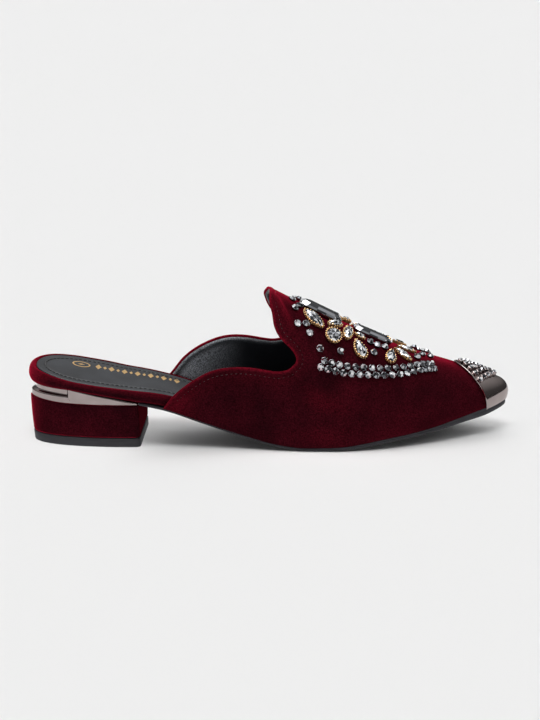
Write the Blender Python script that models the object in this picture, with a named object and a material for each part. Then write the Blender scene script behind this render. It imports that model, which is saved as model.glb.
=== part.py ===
"""A right-foot pointed mule on a low block heel: velvet upper, jewelled vamp, metal toe cap.

Run with: blender --background --python part.py

The shoe is laid out in millimetres. x runs from the back of the heel (0) to the toe tip, y from the outer
(lateral, negative) to the inner (medial, positive) side of the foot, and z up from the floor. The objects
are made in metres, with the middle of the shoe's length and width at the origin.
"""

import math

import bmesh
import bpy
import numpy as np
from mathutils import Matrix

# Driving dimensions, in millimetres
MM = 0.001
LENGTH = 270.0
X_MIDDLE = 134.9
Y_MIDDLE = 2.4
GAP = 0.3
WALL = 1.8
CAP_WALL = 0.9
TOE_ROUND = 15.0

# Sole: plan edges, height of its underside and its thickness, by distance from the heel's back
SOLE_COLUMNS = ("x", "lateral", "medial", "ground", "thick")
SOLE_ROWS = (
    (60.0, -24.0, 24.0, 25.2, 1.2),
    (76.0, -23.6, 22.4, 21.4, 1.6),
    (95.0, -24.0, 21.6, 14.6, 1.5),
    (108.0, -25.2, 22.4, 10.2, 1.4),
    (121.0, -26.8, 24.4, 6.2, 1.4),
    (134.0, -28.9, 27.4, 2.6, 1.4),
    (144.0, -30.5, 30.0, 0.9, 1.5),
    (152.0, -31.5, 32.0, 0.0, 1.7),
    (170.0, -32.4, 35.8, 0.0, 2.1),
    (183.0, -31.6, 37.2, 1.4, 2.2),
    (197.0, -29.0, 37.0, 3.5, 2.3),
    (210.0, -25.2, 35.0, 5.0, 2.3),
    (225.0, -19.2, 31.2, 6.8, 2.7),
    (240.0, -12.0, 26.6, 9.3, 3.3),
    (255.0, -4.2, 21.6, 11.5, 4.2),
    (270.0, 3.0, 16.4, 15.1, 4.0),
)
SOLE_FRONT = 268.2
SOLE_BACK = 63.3

# Upper: ridge line, how far the wall stands out past the sole's edge at its foot and at its fullest,
# and how square the section is (1 is an ellipse)
UPPER_COLUMNS = ("x", "ridge_y", "ridge_z", "overhang", "bulge", "square")
UPPER_ROWS = (
    (70.0, 2.0, 126.0, 2.6, 0.6, 0.80),
    (95.0, 2.0, 109.5, 2.2, 1.2, 0.80),
    (115.0, 2.0, 96.0, 1.6, 1.8, 0.80),
    (134.0, 2.0, 84.8, 1.0, 2.4, 0.80),
    (146.0, 2.4, 78.2, 0.6, 2.8, 0.80),
    (160.0, 3.0, 71.1, 0.5, 3.0, 0.80),
    (175.0, 3.6, 63.6, 0.5, 3.0, 0.80),
    (190.0, 4.2, 56.6, 0.5, 2.8, 0.80),
    (207.0, 5.2, 49.2, 0.5, 2.4, 0.80),
    (223.0, 6.2, 44.0, 0.5, 2.0, 0.80),
    (240.0, 7.4, 38.8, 0.5, 1.6, 0.80),
    (255.0, 8.4, 32.8, 0.5, 1.2, 0.80),
    (270.0, 9.0, 27.4, 0.4, 0.8, 0.80),
)
UPPER_FRONT = LENGTH - GAP - CAP_WALL
NOSE_SLOPE = 5.6
NOSE_TUCK = 1.0
TUCK_RISE = 0.24
CLIMB_SHARES = (0.0, 0.25, 0.70, 1.0)
CLIMB_DEGREES = (0.0, 28.0, 57.0, 90.0)

# Topline: the cut edge of the upper, from the sole up over the wing, round the side notch and up the
# tongue (columns: x, z)
TOPLINE_LATERAL = (
    (75.0, 22.6),
    (80.5, 30.7),
    (91.9, 39.8),
    (102.0, 45.0),
    (113.0, 47.0),
    (126.0, 46.6),
    (137.0, 44.8),
    (144.0, 46.4),
    (148.0, 51.4),
    (145.4, 56.6),
    (139.2, 62.4),
    (136.0, 68.6),
    (135.0, 75.0),
    (133.8, 80.8),
    (134.4, 84.8),
)
TOPLINE_MEDIAL = (
    (73.0, 23.8),
    (78.4, 30.2),
    (86.0, 39.8),
    (99.3, 48.8),
    (112.0, 52.4),
    (124.2, 51.6),
    (135.0, 49.0),
    (142.5, 50.2),
    (146.6, 54.6),
    (144.0, 59.0),
    (137.6, 64.8),
    (133.6, 71.0),
    (131.9, 75.6),
    (131.2, 78.6),
    (132.6, 82.6),
    (134.4, 84.8),
)

# Footbed and the sock lining on it: plan edges of the heel seat and underside of the bed, then the top
# of the sock along its outer edge and how much higher its inner edge is
SEAT_COLUMNS = ("x", "lateral", "medial", "under")
SEAT_ROWS = (
    (0.0, -26.6, 27.0, 33.5),
    (12.0, -26.6, 27.0, 33.9),
    (22.0, -26.6, 27.0, 33.6),
    (32.0, -26.6, 27.0, 32.0),
    (42.0, -26.4, 26.8, 30.0),
    (52.0, -26.0, 26.2, 28.0),
    (62.0, -25.6, 25.4, 26.0),
)
SOCK_COLUMNS = ("x", "top", "roll")
SOCK_ROWS = (
    (0.0, 42.6, 2.4),
    (10.0, 41.4, 2.4),
    (20.0, 39.3, 2.4),
    (40.0, 35.6, 2.3),
    (56.0, 33.3, 1.2),
    (68.0, 31.6, 1.1),
    (80.0, 29.0, 1.3),
    (95.0, 24.4, 1.0),
    (110.0, 18.4, 0.4),
    (125.0, 12.9, 0.0),
    (140.0, 8.8, 0.0),
    (155.0, 6.8, 0.0),
    (170.0, 6.8, 0.0),
    (185.0, 8.0, 0.0),
    (200.0, 10.0, 0.0),
    (215.0, 11.8, 0.0),
    (230.0, 14.2, 0.0),
    (245.0, 17.0, 0.0),
    (270.0, 21.6, 0.0),
)
SEAT_ROUND = 31.0
SEAT_MERGE = (60.0, 78.0)
BED_CLEAR = 0.5
BED_FRONT = 263.6
SOCK_THICK = 1.2
SOCK_INSET = 4.4
RIM_LIP = 4.0

# Heel: each storey is half an ellipse in plan with a flat breast, squarer the smaller its last column
# (columns: back, front, half width, power)
HEEL_SKEW = 0.07
HEEL_AXIS_Y = 0.5
HEEL_CORNER = 1.6
TIP_HEIGHT = 5.2
BLOCK_TOP = 24.6
BLOCK_RISE = 1.5
BLOCK_RISE_END = 22.0
HEEL_ROWS = {
    "tip_foot": (2.2, 63.8, 22.0, 0.80),
    "tip_head": (1.8, 63.6, 22.4, 0.80),
    "block_foot": (1.8, 63.4, 22.3, 0.84),
    "block_head": (0.5, 62.8, 24.6, 1.0),
    "band_foot": (1.2, 62.0, 24.0, 1.0),
    "band_waist": (2.8, 61.6, 23.2, 1.0),
    "band_head": (3.9, 61.2, 23.4, 1.0),
}
PLATE_PROUD = 0.7
PLATE_START_HIGH = 21.0
PLATE_START_LOW = 27.0

# Toe cap: its edge at the sole, how much further back it reaches along the ridge
CAP_SIDE = 255.2
CAP_REACH = 17.0
CAP_SWEEP = 1.2

# Jewels: place along the shoe and down from the ridge, turn about the surface normal, length, width and
# height (columns: name, cut, x, fall, turn, long, wide, high)
RIDGE_JEWELS = (
    ("baguette_rear", "baguette", 161.6, 2.2, 0.0, 25.0, 11.0, 3.7),
    ("baguette_front", "baguette", 190.8, 2.2, 0.0, 22.5, 9.8, 3.1),
    ("marquise_ridge", "marquise", 210.8, 2.4, 8.0, 12.0, 5.0, 1.8),
    ("stone_ridge_1", "round", 146.4, 2.4, 0.0, 4.2, 4.2, 1.8),
    ("stone_ridge_2", "round", 219.6, 3.4, 0.0, 4.0, 4.0, 1.8),
    ("stone_ridge_3", "round", 224.2, 2.8, 0.0, 4.0, 4.0, 1.8),
)
SIDE_JEWELS = (
    ("marquise_rear", "marquise", 157.6, 14.2, 32.0, 16.0, 8.4, 3.2),
    ("oval_small", "oval", 169.6, 10.4, -36.0, 11.0, 4.8, 3.0),
    ("round_large", "oval", 168.4, 20.4, 90.0, 10.8, 9.8, 3.6),
    ("oval_upright", "oval", 176.6, 13.4, 96.0, 13.4, 6.0, 3.0),
    ("pear_middle", "pear", 182.8, 22.0, 238.0, 13.4, 8.2, 3.4),
    ("pear_front", "pear", 200.4, 17.6, 278.0, 11.5, 7.0, 3.0),
    ("marquise_middle", "marquise", 183.6, 11.5, 20.0, 7.2, 3.4, 2.4),
    ("marquise_low", "marquise", 207.8, 11.8, 42.0, 13.2, 5.2, 2.2),
)
# Single rhinestones on both sides (columns: x, fall)
SIDE_STONES = (
    (150.2, 7.4),
    (147.6, 11.8),
    (148.8, 22.0),
    (153.4, 20.0),
    (155.4, 24.8),
    (160.8, 31.6),
    (172.2, 28.4),
    (190.8, 20.4),
    (189.2, 12.8),
    (193.0, 13.2),
    (197.4, 11.8),
    (216.0, 9.8),
)
STONE_LONG = 4.2
STONE_HIGH = 2.4

# Rhinestone borders: the middle line of a double row, as place along the shoe and down from the ridge
# (columns: x, fall)
BORDER_ROWS = (
    (161.0, 39.8),
    (172.0, 38.4),
    (184.0, 34.8),
    (196.0, 30.0),
    (208.0, 23.6),
    (218.0, 17.2),
    (225.0, 13.6),
)
BORDER_STONES = 16
BORDER_WIDE = 8.0
BORDER_BASE = 0.8
BORDER_HIGH = 2.2

# Stone cluster on the toe cap: a diamond laid over the ridge
CLUSTER_BACK = 239.0
CLUSTER_FRONT = 262.6
CLUSTER_FALL = 14.2
CLUSTER_STONES = 5
CLUSTER_BASE = 0.7
CLUSTER_HIGH = 2.0


def smooth_curve(xs, ys):
    """A curve through the points that never overshoots them, straight-lined past its ends."""
    xs = np.asarray(xs, float)
    ys = np.asarray(ys, float)
    steps = np.diff(xs)
    slopes = np.diff(ys) / steps
    tangents = np.zeros(len(xs))
    tangents[0] = slopes[0]
    tangents[-1] = slopes[-1]
    for i in range(1, len(xs) - 1):
        if slopes[i - 1] * slopes[i] > 0:
            before = 2 * steps[i] + steps[i - 1]
            after = steps[i] + 2 * steps[i - 1]
            tangents[i] = (before + after) / (before / slopes[i - 1] + after / slopes[i])

    def value(x):
        x = np.asarray(x, float)
        i = np.clip(np.searchsorted(xs, x) - 1, 0, len(steps) - 1)
        t = (x - xs[i]) / steps[i]
        inside = np.clip(t, 0, 1)
        blend = inside * inside * (3 - 2 * inside)
        start_pull = inside * (1 - inside) ** 2 * tangents[i]
        end_pull = -inside * inside * (1 - inside) * tangents[i + 1]
        curve = ys[i] * (1 - blend) + ys[i + 1] * blend + steps[i] * (start_pull + end_pull)
        past = np.where(t < 0, tangents[i], tangents[i + 1]) * (t - inside) * steps[i]
        return curve + past

    return value


def column_curves(columns, rows):
    """A smooth curve of every other column over the first one."""
    across = list(zip(*rows))
    return {name: smooth_curve(across[0], across[k]) for k, name in enumerate(columns) if k}


SOLE = column_curves(SOLE_COLUMNS, SOLE_ROWS)
UPPER = column_curves(UPPER_COLUMNS, UPPER_ROWS)
SEAT = column_curves(SEAT_COLUMNS, SEAT_ROWS)
SOCK = column_curves(SOCK_COLUMNS, SOCK_ROWS)
CLIMB = smooth_curve(CLIMB_SHARES, CLIMB_DEGREES)
SIDES = {"lateral": -1.0, "medial": 1.0}
NEAR_RIDGE = math.pi / 2 - 0.02


def sole_top(x):
    return SOLE["ground"](x) + SOLE["thick"](x)


def bed_under(x):
    """Underside of the footbed: over the heel band at the back, over the sole from the breast on."""
    return np.where(x < SEAT_ROWS[-1][0], SEAT["under"](x), sole_top(x) + GAP)


def toe_closing(x, front, radius):
    """1 along the shoe, falling to 0 at the front as a quarter ellipse."""
    t = np.clip((x - (front - radius)) / radius, 0, 1)
    return np.sqrt(1 - t * t)


# The upper's surface


def nose_x(angle):
    """Where the section line at this angle reaches the toe: the nose profile, tucked in at the sole."""
    slope = NOSE_SLOPE * (1 - np.cos(angle)) ** 1.5
    tuck = NOSE_TUCK * (1 - np.sin(angle)) ** 3
    return UPPER_FRONT - slope - tuck


def upper_point(x, angle, side):
    """A point of the upper's outside. The angle runs from 0 at the sole to a right angle on the ridge."""
    sign = SIDES[side]
    ridge_y = UPPER["ridge_y"](x)
    foot_y = SOLE[side](x) + sign * UPPER["overhang"](x)
    full_y = foot_y + sign * UPPER["bulge"](x)
    rise = np.sin(angle)
    reach = np.clip(np.cos(angle), 0, 1) ** UPPER["square"](x)
    tuck = np.clip(1 - rise / TUCK_RISE, 0, 1) ** 2
    spread = (full_y - ridge_y) * reach - sign * UPPER["bulge"](x) * tuck
    y = ridge_y + spread * toe_closing(x, nose_x(angle), TOE_ROUND)
    foot_z = sole_top(x) + GAP
    z = foot_z + (UPPER["ridge_z"](x) - foot_z) * rise
    return np.stack(np.broadcast_arrays(x, y, z), -1)


def upper_normal(x, angle, side):
    step = 0.01
    along = upper_point(x + step, angle, side) - upper_point(x - step, angle, side)
    round_it = upper_point(x, angle + step, side) - upper_point(x, angle - step, side)
    normal = np.cross(along, round_it) * -SIDES[side]
    return normal / np.linalg.norm(normal)


def topline(rows):
    """The topline's x as a curve over the section angle."""
    angles = []
    for x, z in rows:
        foot_z = float(sole_top(x) + GAP)
        rise = (z - foot_z) / (float(UPPER["ridge_z"](x)) - foot_z)
        angles.append(math.asin(min(max(rise, 0.0), 1.0)))
    return smooth_curve(angles, [row[0] for row in rows])


TOPLINES = {"lateral": topline(TOPLINE_LATERAL), "medial": topline(TOPLINE_MEDIAL)}


def cap_edge(angle):
    return CAP_SIDE - CAP_REACH * (1 - np.cos(angle)) ** CAP_SWEEP


def stations(start, front, radius, straight_steps, round_steps):
    """Places from start to front: even along the straight part, by equal angles round the end."""
    straight = np.linspace(start, front - radius, straight_steps + 1)
    turn = np.linspace(0, math.pi / 2, round_steps + 1)[1:]
    return np.concatenate([straight, front - radius + radius * np.sin(turn)])


def wrap_grid(start_of, straight_steps, round_steps, angle_steps):
    """Rows of points from the start edge to the nose, from lateral sole over the ridge to medial sole."""
    angles = np.radians(CLIMB(np.linspace(0, 1, angle_steps + 1)))
    columns = []
    for side, order in (("lateral", angles), ("medial", angles[-2::-1])):
        for angle in order:
            front = nose_x(angle)
            start = float(start_of(side, angle))
            radius = min(TOE_ROUND, 0.9 * (front - start))
            x = stations(start, front, radius, straight_steps, round_steps)
            columns.append(upper_point(x, angle, side))
    return np.stack(columns, 1)


def grid_normals(grid):
    """Outward normals of a wrapped grid. The last row is the nose, where the two sides meet."""
    mirrored = grid[-2:-1, ::-1]
    longer = np.concatenate([grid, mirrored])
    along = np.gradient(longer, axis=0)[:-1]
    across = np.gradient(grid, axis=1)
    across[-1] = (across[-1] - across[-1, ::-1]) / 2 + across[-2] * 1e-6
    normals = np.cross(along, across)
    nose = normals[-2] + normals[-2, ::-1]
    normals[-1] = nose
    normals /= np.linalg.norm(normals, axis=2, keepdims=True)
    return normals


def shell(grid, inner_offset, outer_offset):
    """A closed wall between two offsets of a wrapped grid, joined along the nose."""
    normals = grid_normals(grid)
    rows, columns = grid.shape[:2]
    half = columns // 2
    layers = [grid + normals * offset for offset in (outer_offset, inner_offset)]
    points = []
    index = np.zeros((2, rows, columns), int)
    for k, layer in enumerate(layers):
        for i in range(rows):
            for j in range(columns):
                if i == rows - 1 and j > half:
                    index[k, i, j] = index[k, i, columns - 1 - j]
                    continue
                index[k, i, j] = len(points)
                points.append(layer[i, j])
    faces = []
    for i in range(rows - 1):
        for j in range(columns - 1):
            for k in range(2):
                here = index[k, i : i + 2, j : j + 2]
                corners = (here[0, 0], here[1, 0], here[1, 1], here[0, 1])
                faces.append(corners if k else corners[::-1])
    for j in range(columns - 1):
        faces.append((index[0, 0, j], index[1, 0, j], index[1, 0, j + 1], index[0, 0, j + 1]))
    for i in range(rows - 1):
        for j in (0, columns - 1):
            faces.append((index[0, i, j], index[0, i + 1, j], index[1, i + 1, j], index[1, i, j]))
    return points, faces


# Flat pieces: stacked rings of lateral and medial points


def slab(rings):
    """A closed solid through stacked rings, each a lateral and a medial run of points, back to front."""
    points = []
    faces = []
    count = len(rings[0][0])
    size = 2 * count
    for lateral, medial in rings:
        points.extend(lateral)
        points.extend(medial[::-1])
    for k in range(len(rings) - 1):
        for i in range(size):
            after = (i + 1) % size
            faces.append((k * size + i, k * size + after, (k + 1) * size + after, (k + 1) * size + i))
    for base in (0, (len(rings) - 1) * size):
        for i in range(count - 1):
            faces.append((base + i, base + i + 1, base + size - 2 - i, base + size - 1 - i))
    return points, faces


def with_height(x, y, height):
    return np.stack([x, y, np.broadcast_to(height(x), x.shape)], -1)


def sole_ring(inset, height):
    sides = []
    for side, sign in SIDES.items():
        start = SOLE_BACK + HEEL_SKEW * sign * abs(SOLE_ROWS[0][1])
        x = stations(start, SOLE_FRONT - 1.5 * inset, TOE_ROUND, 26, 6)
        axis = UPPER["ridge_y"](x)
        edge = SOLE[side](x) - sign * inset
        y = axis + (edge - axis) * np.maximum(toe_closing(x, SOLE_FRONT - 1.5 * inset, TOE_ROUND), 0.03)
        sides.append(with_height(x, y, height))
    return sides


def bed_edge(x, side):
    """The footbed's plan edge: the heel seat behind, the room inside the upper's wall in front."""
    sign = SIDES[side]
    start, end = SEAT_MERGE
    t = np.clip((x - start) / (end - start), 0, 1)
    inside = SOLE[side](x) + sign * (UPPER["overhang"](x) - WALL - BED_CLEAR)
    share = t * t * (3 - 2 * t)
    return SEAT[side](x) * (1 - share) + inside * share


def seat_roll(x, y):
    """How much the seat rises from its outer towards its inner edge."""
    lateral = SEAT["lateral"](np.minimum(x, SEAT_ROWS[-1][0]))
    medial = SEAT["medial"](np.minimum(x, SEAT_ROWS[-1][0]))
    return SOCK["roll"](x) * (y - lateral) / (medial - lateral)


def bed_ring(inset, height, rolled=1.0):
    """A ring of the footbed or sock: round at the heel, following the last to the toe."""
    back_turn = np.linspace(math.radians(6), math.pi / 2, 11)
    radius = SEAT_ROUND - inset
    front = BED_FRONT - 1.6 * inset
    toe_radius = TOE_ROUND - inset
    x_back = inset + radius * (1 - np.cos(back_turn))
    x = np.concatenate([x_back, stations(SEAT_ROUND, front, toe_radius, 22, 5)[1:]])
    closing = np.ones(len(x))
    closing[: len(back_turn)] = np.sin(back_turn) ** 0.9
    closing *= np.maximum(toe_closing(x, front, toe_radius), 0.04)
    sides = []
    for side, sign in SIDES.items():
        axis = np.where(x > SEAT_ROUND, UPPER["ridge_y"](x), 0.0)
        edge = bed_edge(x, side) - sign * inset
        y = axis + (edge - axis) * closing
        z = height(x) + rolled * seat_roll(x, y)
        sides.append(np.stack([x, y, z], -1))
    return sides


def heel_ring(storey, height, proud_from=None):
    """One storey of the heel. With proud_from, the sides stand out from that place forward."""
    back, front, half_width, power = HEEL_ROWS[storey]
    turn = np.linspace(math.radians(5), math.pi / 2, 17)
    x = front - HEEL_CORNER - (front - HEEL_CORNER - back) * np.cos(turn)
    half = half_width * np.sin(turn) ** power
    if proud_from is not None:
        half = half + PLATE_PROUD * (x > proud_from)
    x = np.append(x, front)
    half = np.append(half, half[-1] - HEEL_CORNER)
    sides = []
    for sign in SIDES.values():
        y = HEEL_AXIS_Y + sign * half
        skewed = x + HEEL_SKEW * (y - HEEL_AXIS_Y) * (x - back) / (front - back)
        sides.append(with_height(skewed, y, height))
    return sides


# Jewels


def section_angle(x, fall, side):
    """The section angle that lies this far from the ridge, measured over the surface."""
    angles = np.linspace(math.pi / 2, 0, 181)
    line = upper_point(np.full(len(angles), x), angles, side)
    run = np.concatenate([[0], np.cumsum(np.linalg.norm(np.diff(line, axis=0), axis=1))])
    return float(np.interp(fall, run, angles))


def surface_frame(x, fall, side, turn):
    """Middle, long, wide and out directions of a piece on the upper's surface."""
    angle = section_angle(x, fall, side)
    place = float(x)
    middle = upper_point(place, angle, side)
    out = upper_normal(place, min(angle, NEAR_RIDGE), side)
    forward = upper_point(place + 0.5, angle, side) - upper_point(place - 0.5, angle, side)
    forward = forward - out * (forward @ out)
    forward /= np.linalg.norm(forward)
    down = np.cross(out, forward) * SIDES[side]
    tilt = math.radians(turn)
    long = forward * math.cos(tilt) + down * math.sin(tilt)
    wide = np.cross(out, long)
    return middle, long, wide, out


def cut_outline(cut):
    """Unit plan outline of a stone, as long and wide parts of its half sizes."""
    if cut == "baguette":
        corner = 0.72
        side = 0.45
        upper_half = [(1, side), (corner, 1), (-corner, 1), (-1, side)]
        return upper_half + [(a, -b) for a, b in upper_half[::-1]]
    turns = np.linspace(0, 2 * math.pi, 10, endpoint=False)
    if cut == "round":
        turns = np.linspace(0, 2 * math.pi, 8, endpoint=False)
    long = np.cos(turns)
    wide = np.sin(turns)
    if cut == "marquise":
        wide = wide * np.abs(np.sin(turns)) ** 0.6
    if cut == "pear":
        wide = wide * (0.5 * (1 - long)) ** 0.35 * 1.12
    return list(zip(long, wide))


def seat_height(middle, long, wide, out, half_long, half_wide, x, side):
    """How far the upper rises above the tangent plane under a stone."""
    reach = max(half_long, half_wide)
    across = np.linspace(0.2, math.pi / 2, 40)
    along = np.linspace(x - reach - 2, x + reach + 2, 25)
    near = np.concatenate([
        upper_point(np.full(len(across), place), across, name)
        for place in along
        for name in SIDES
    ])
    offset = near - middle
    under = (np.abs(offset @ long) < half_long) & (np.abs(offset @ wide) < half_wide)
    return float(np.max((offset @ out)[under], initial=0.0))


def jewel(name, cut, x, fall, turn, long_size, wide_size, high, side, material):
    """A faceted stone in its setting: a base, a wider girdle and a flat table."""
    middle, long, wide, out = surface_frame(x, fall, side, turn)
    half_long = long_size / 2
    half_wide = wide_size / 2
    lift = GAP + seat_height(middle, long, wide, out, half_long, half_wide, x, side)
    outline = cut_outline(cut)
    points = []
    for share, height in ((0.9, 0.0), (1.0, 0.45 * high), (0.58, high)):
        for a, b in outline:
            flat = long * a * half_long + wide * b * half_wide
            points.append(middle + flat * share + out * (lift + height))
    count = len(outline)
    faces = [tuple(range(count)), tuple(range(3 * count - 1, 2 * count - 1, -1))]
    for k in range(2):
        for i in range(count):
            after = (i + 1) % count
            faces.append((k * count + i, k * count + after, (k + 1) * count + after, (k + 1) * count + i))
    return add_solid(name, points, faces, material)


def draped(places, side_of, base, tops):
    """A solid lying on the upper: a grid of (x, fall) places, a base height and each point's height."""
    rows = len(places)
    columns = len(places[0])
    points = []
    for heights in (np.full((rows, columns), base), tops):
        for i in range(rows):
            for j in range(columns):
                x, fall = places[i][j]
                side = side_of(fall)
                angle = section_angle(x, abs(fall), side)
                normal = upper_normal(float(x), min(angle, NEAR_RIDGE), side)
                points.append(upper_point(float(x), angle, side) + normal * heights[i, j])
    faces = []
    layer = rows * columns
    for i in range(rows - 1):
        for j in range(columns - 1):
            a = i * columns + j
            faces.append((a, a + 1, a + columns + 1, a + columns))
            faces.append((layer + a, layer + a + columns, layer + a + columns + 1, layer + a + 1))
    edge = list(range(columns))
    edge += [i * columns + columns - 1 for i in range(1, rows)]
    edge += [(rows - 1) * columns + j for j in range(columns - 2, -1, -1)]
    edge += [i * columns for i in range(rows - 2, 0, -1)]
    for k, a in enumerate(edge):
        b = edge[(k + 1) % len(edge)]
        faces.append((a, layer + a, layer + b, b))
    return points, faces


# Materials and objects


def material(name, colour, roughness, metallic=0.0, sheen=0.0):
    made = bpy.data.materials.new(name)
    made.use_nodes = True
    shader = made.node_tree.nodes["Principled BSDF"]
    shader.inputs["Base Color"].default_value = (*colour, 1.0)
    shader.inputs["Roughness"].default_value = roughness
    shader.inputs["Metallic"].default_value = metallic
    shader.inputs["Sheen Weight"].default_value = sheen
    made.diffuse_color = (*colour, 1.0)
    return made


def add_solid(name, points, faces, made_of):
    """One closed object from points in millimetres, moved to the shared origin."""
    shift = np.array([X_MIDDLE, Y_MIDDLE, 0.0])
    metres = (np.asarray(points, float) - shift) * MM
    mesh = bpy.data.meshes.new(name)
    mesh.from_pydata(metres.tolist(), [], [tuple(int(i) for i in face) for face in faces])
    work = bmesh.new()
    work.from_mesh(mesh)
    bmesh.ops.recalc_face_normals(work, faces=work.faces)
    work.to_mesh(mesh)
    work.free()
    mesh.shade_smooth()
    mesh.set_sharp_from_angle(angle=math.radians(40))
    mesh.materials.append(made_of)
    made = bpy.data.objects.new(name, mesh)
    bpy.context.scene.collection.objects.link(made)
    made.parent = bpy.data.objects["heeled_mule"]
    return made


def make_sole(rubber):
    bevel = 0.5
    rings = [
        sole_ring(bevel, SOLE["ground"]),
        sole_ring(0.0, lambda x: SOLE["ground"](x) + bevel),
        sole_ring(0.0, sole_top),
    ]
    add_solid("outsole", *slab(rings), rubber)


def make_footbed(velvet, leather):
    """The velvet-wrapped board, with a rolled rim round a recess, and the sock lining lying in it."""
    recess = SOCK_THICK + GAP

    def between(share):
        return lambda x: bed_under(x) * (1 - share) + SOCK["top"](x) * share

    rings = [
        bed_ring(3.4, bed_under, 0.0),
        bed_ring(1.0, between(0.20), 0.20),
        bed_ring(0.0, between(0.52), 0.52),
        bed_ring(0.6, between(0.82), 0.82),
        bed_ring(2.2, lambda x: SOCK["top"](x) - 0.1),
        bed_ring(RIM_LIP - 0.4, lambda x: SOCK["top"](x) - 0.1),
        bed_ring(RIM_LIP, lambda x: SOCK["top"](x) - recess),
    ]
    add_solid("footbed", *slab(rings), velvet)
    sock_rings = [
        bed_ring(SOCK_INSET, lambda x: SOCK["top"](x) - SOCK_THICK),
        bed_ring(SOCK_INSET, lambda x: SOCK["top"](x) - 0.4),
        bed_ring(SOCK_INSET + 0.5, SOCK["top"]),
    ]
    add_solid("insole", *slab(sock_rings), leather)


def block_top(x):
    """Top of the heel block, rising a little towards the back."""
    return BLOCK_TOP + BLOCK_RISE * np.clip(1 - x / BLOCK_RISE_END, 0, 1) ** 2


def make_heel(rubber, velvet, metal):
    bevel = 0.6
    tip = [
        heel_ring("tip_foot", lambda x: 0.0),
        heel_ring("tip_head", lambda x: bevel),
        heel_ring("tip_head", lambda x: TIP_HEIGHT),
    ]
    add_solid("heel_tip", *slab(tip), rubber)
    block = [
        heel_ring("block_foot", lambda x: TIP_HEIGHT + GAP),
        heel_ring("block_head", block_top),
    ]
    add_solid("heel_block", *slab(block), velvet)

    def band_height(share):
        return lambda x: (block_top(x) + GAP) * (1 - share) + (bed_under(x) - GAP) * share

    band = [
        heel_ring("band_foot", band_height(0.0), PLATE_START_LOW),
        heel_ring("band_foot", band_height(0.3), PLATE_START_LOW - 3.0),
        heel_ring("band_waist", band_height(0.6), PLATE_START_HIGH),
        heel_ring("band_head", band_height(1.0), PLATE_START_HIGH),
    ]
    add_solid("heel_band", *slab(band), metal)


def make_upper(velvet, metal):
    grid = wrap_grid(lambda side, angle: TOPLINES[side](angle), 18, 5, 24)
    add_solid("upper", *shell(grid, -WALL, 0.0), velvet)
    cap = wrap_grid(lambda side, angle: cap_edge(angle), 5, 6, 12)
    add_solid("toe_cap", *shell(cap, GAP, GAP + CAP_WALL), metal)


def make_jewels(crystal, gilt):
    for name, cut, *sizes in RIDGE_JEWELS:
        jewel(name, cut, *sizes, "lateral", gilt if cut == "marquise" else crystal)
    for side in SIDES:
        for name, *sizes in SIDE_JEWELS:
            jewel(f"{name}_{side}", *sizes, side, gilt)
        stone_sizes = (0.0, STONE_LONG, STONE_LONG, STONE_HIGH)
        for k, (x, fall) in enumerate(SIDE_STONES):
            jewel(f"stone_{side}_{k + 1:02d}", "round", x, fall, *stone_sizes, side, crystal)


def make_border(side, crystal):
    """A double row of rhinestones on a backing strip: every second point of each row is a stone's top."""
    across = list(zip(*BORDER_ROWS))
    share = np.linspace(0, 1, len(BORDER_ROWS))
    path_x = smooth_curve(share, across[0])
    path_fall = smooth_curve(share, across[1])
    count = 2 * BORDER_STONES + 1
    places = []
    tops = np.full((count, 5), GAP + BORDER_BASE)
    for i, t in enumerate(np.linspace(0, 1, count)):
        row = [(float(path_x(t)), float(path_fall(t)) + BORDER_WIDE * (k / 4 - 0.5)) for k in range(5)]
        places.append(row)
        tops[i, 1 if i % 2 else 3] = GAP + BORDER_HIGH
    points, faces = draped(places, lambda fall: side, GAP, tops)
    add_solid(f"border_stones_{side}", points, faces, crystal)


def make_cluster(crystal):
    """The cap's stone cluster: a square grid of stones turned into a diamond over the ridge."""
    count = 2 * CLUSTER_STONES + 1
    base = GAP + CAP_WALL + GAP
    places = []
    tops = np.full((count, count), base + CLUSTER_BASE)
    for i, p in enumerate(np.linspace(0, 1, count)):
        row = []
        for j, q in enumerate(np.linspace(0, 1, count)):
            x = CLUSTER_BACK + (CLUSTER_FRONT - CLUSTER_BACK) * (p + q) / 2
            row.append((x, CLUSTER_FALL * (p - q)))
            if i % 2 and j % 2:
                tops[i, j] = base + CLUSTER_HIGH
        places.append(row)
    points, faces = draped(places, lambda fall: "lateral" if fall >= 0 else "medial", base, tops)
    add_solid("toe_cap_stones", points, faces, crystal)


def main():
    for old in list(bpy.data.objects):
        bpy.data.objects.remove(old, do_unlink=True)
    root = bpy.data.objects.new("heeled_mule", None)
    root.matrix_world = Matrix.Identity(4)
    bpy.context.scene.collection.objects.link(root)
    velvet = material("burgundy_velvet", (0.055, 0.001, 0.006), 0.85, sheen=0.6)
    leather = material("black_leather", (0.02, 0.021, 0.024), 0.5)
    rubber = material("black_rubber", (0.03, 0.031, 0.034), 0.6)
    metal = material("gunmetal", (0.34, 0.30, 0.29), 0.16, metallic=1.0)
    crystal = material("smoke_crystal", (0.30, 0.32, 0.34), 0.1)
    gilt = material("gilt_set_crystal", (0.55, 0.36, 0.16), 0.25, metallic=0.5)
    make_sole(rubber)
    make_footbed(velvet, leather)
    make_heel(rubber, velvet, metal)
    make_upper(velvet, metal)
    make_jewels(crystal, gilt)
    for side in SIDES:
        make_border(side, crystal)
    make_cluster(crystal)
    bpy.context.view_layer.update()


main()
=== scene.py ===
"""The looks of a right-foot pointed mule: velvet, leather, polished metal and set crystals.

The shoe is laid out in millimetres, as the part is. x runs from the back of the heel (0) to the toe
tip, y from the outer (lateral, negative) to the inner (medial, positive) side of the foot, and z up
from the floor. The pieces are made in metres, with the middle of the shoe's length and width at the
origin.
"""

import math

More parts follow.
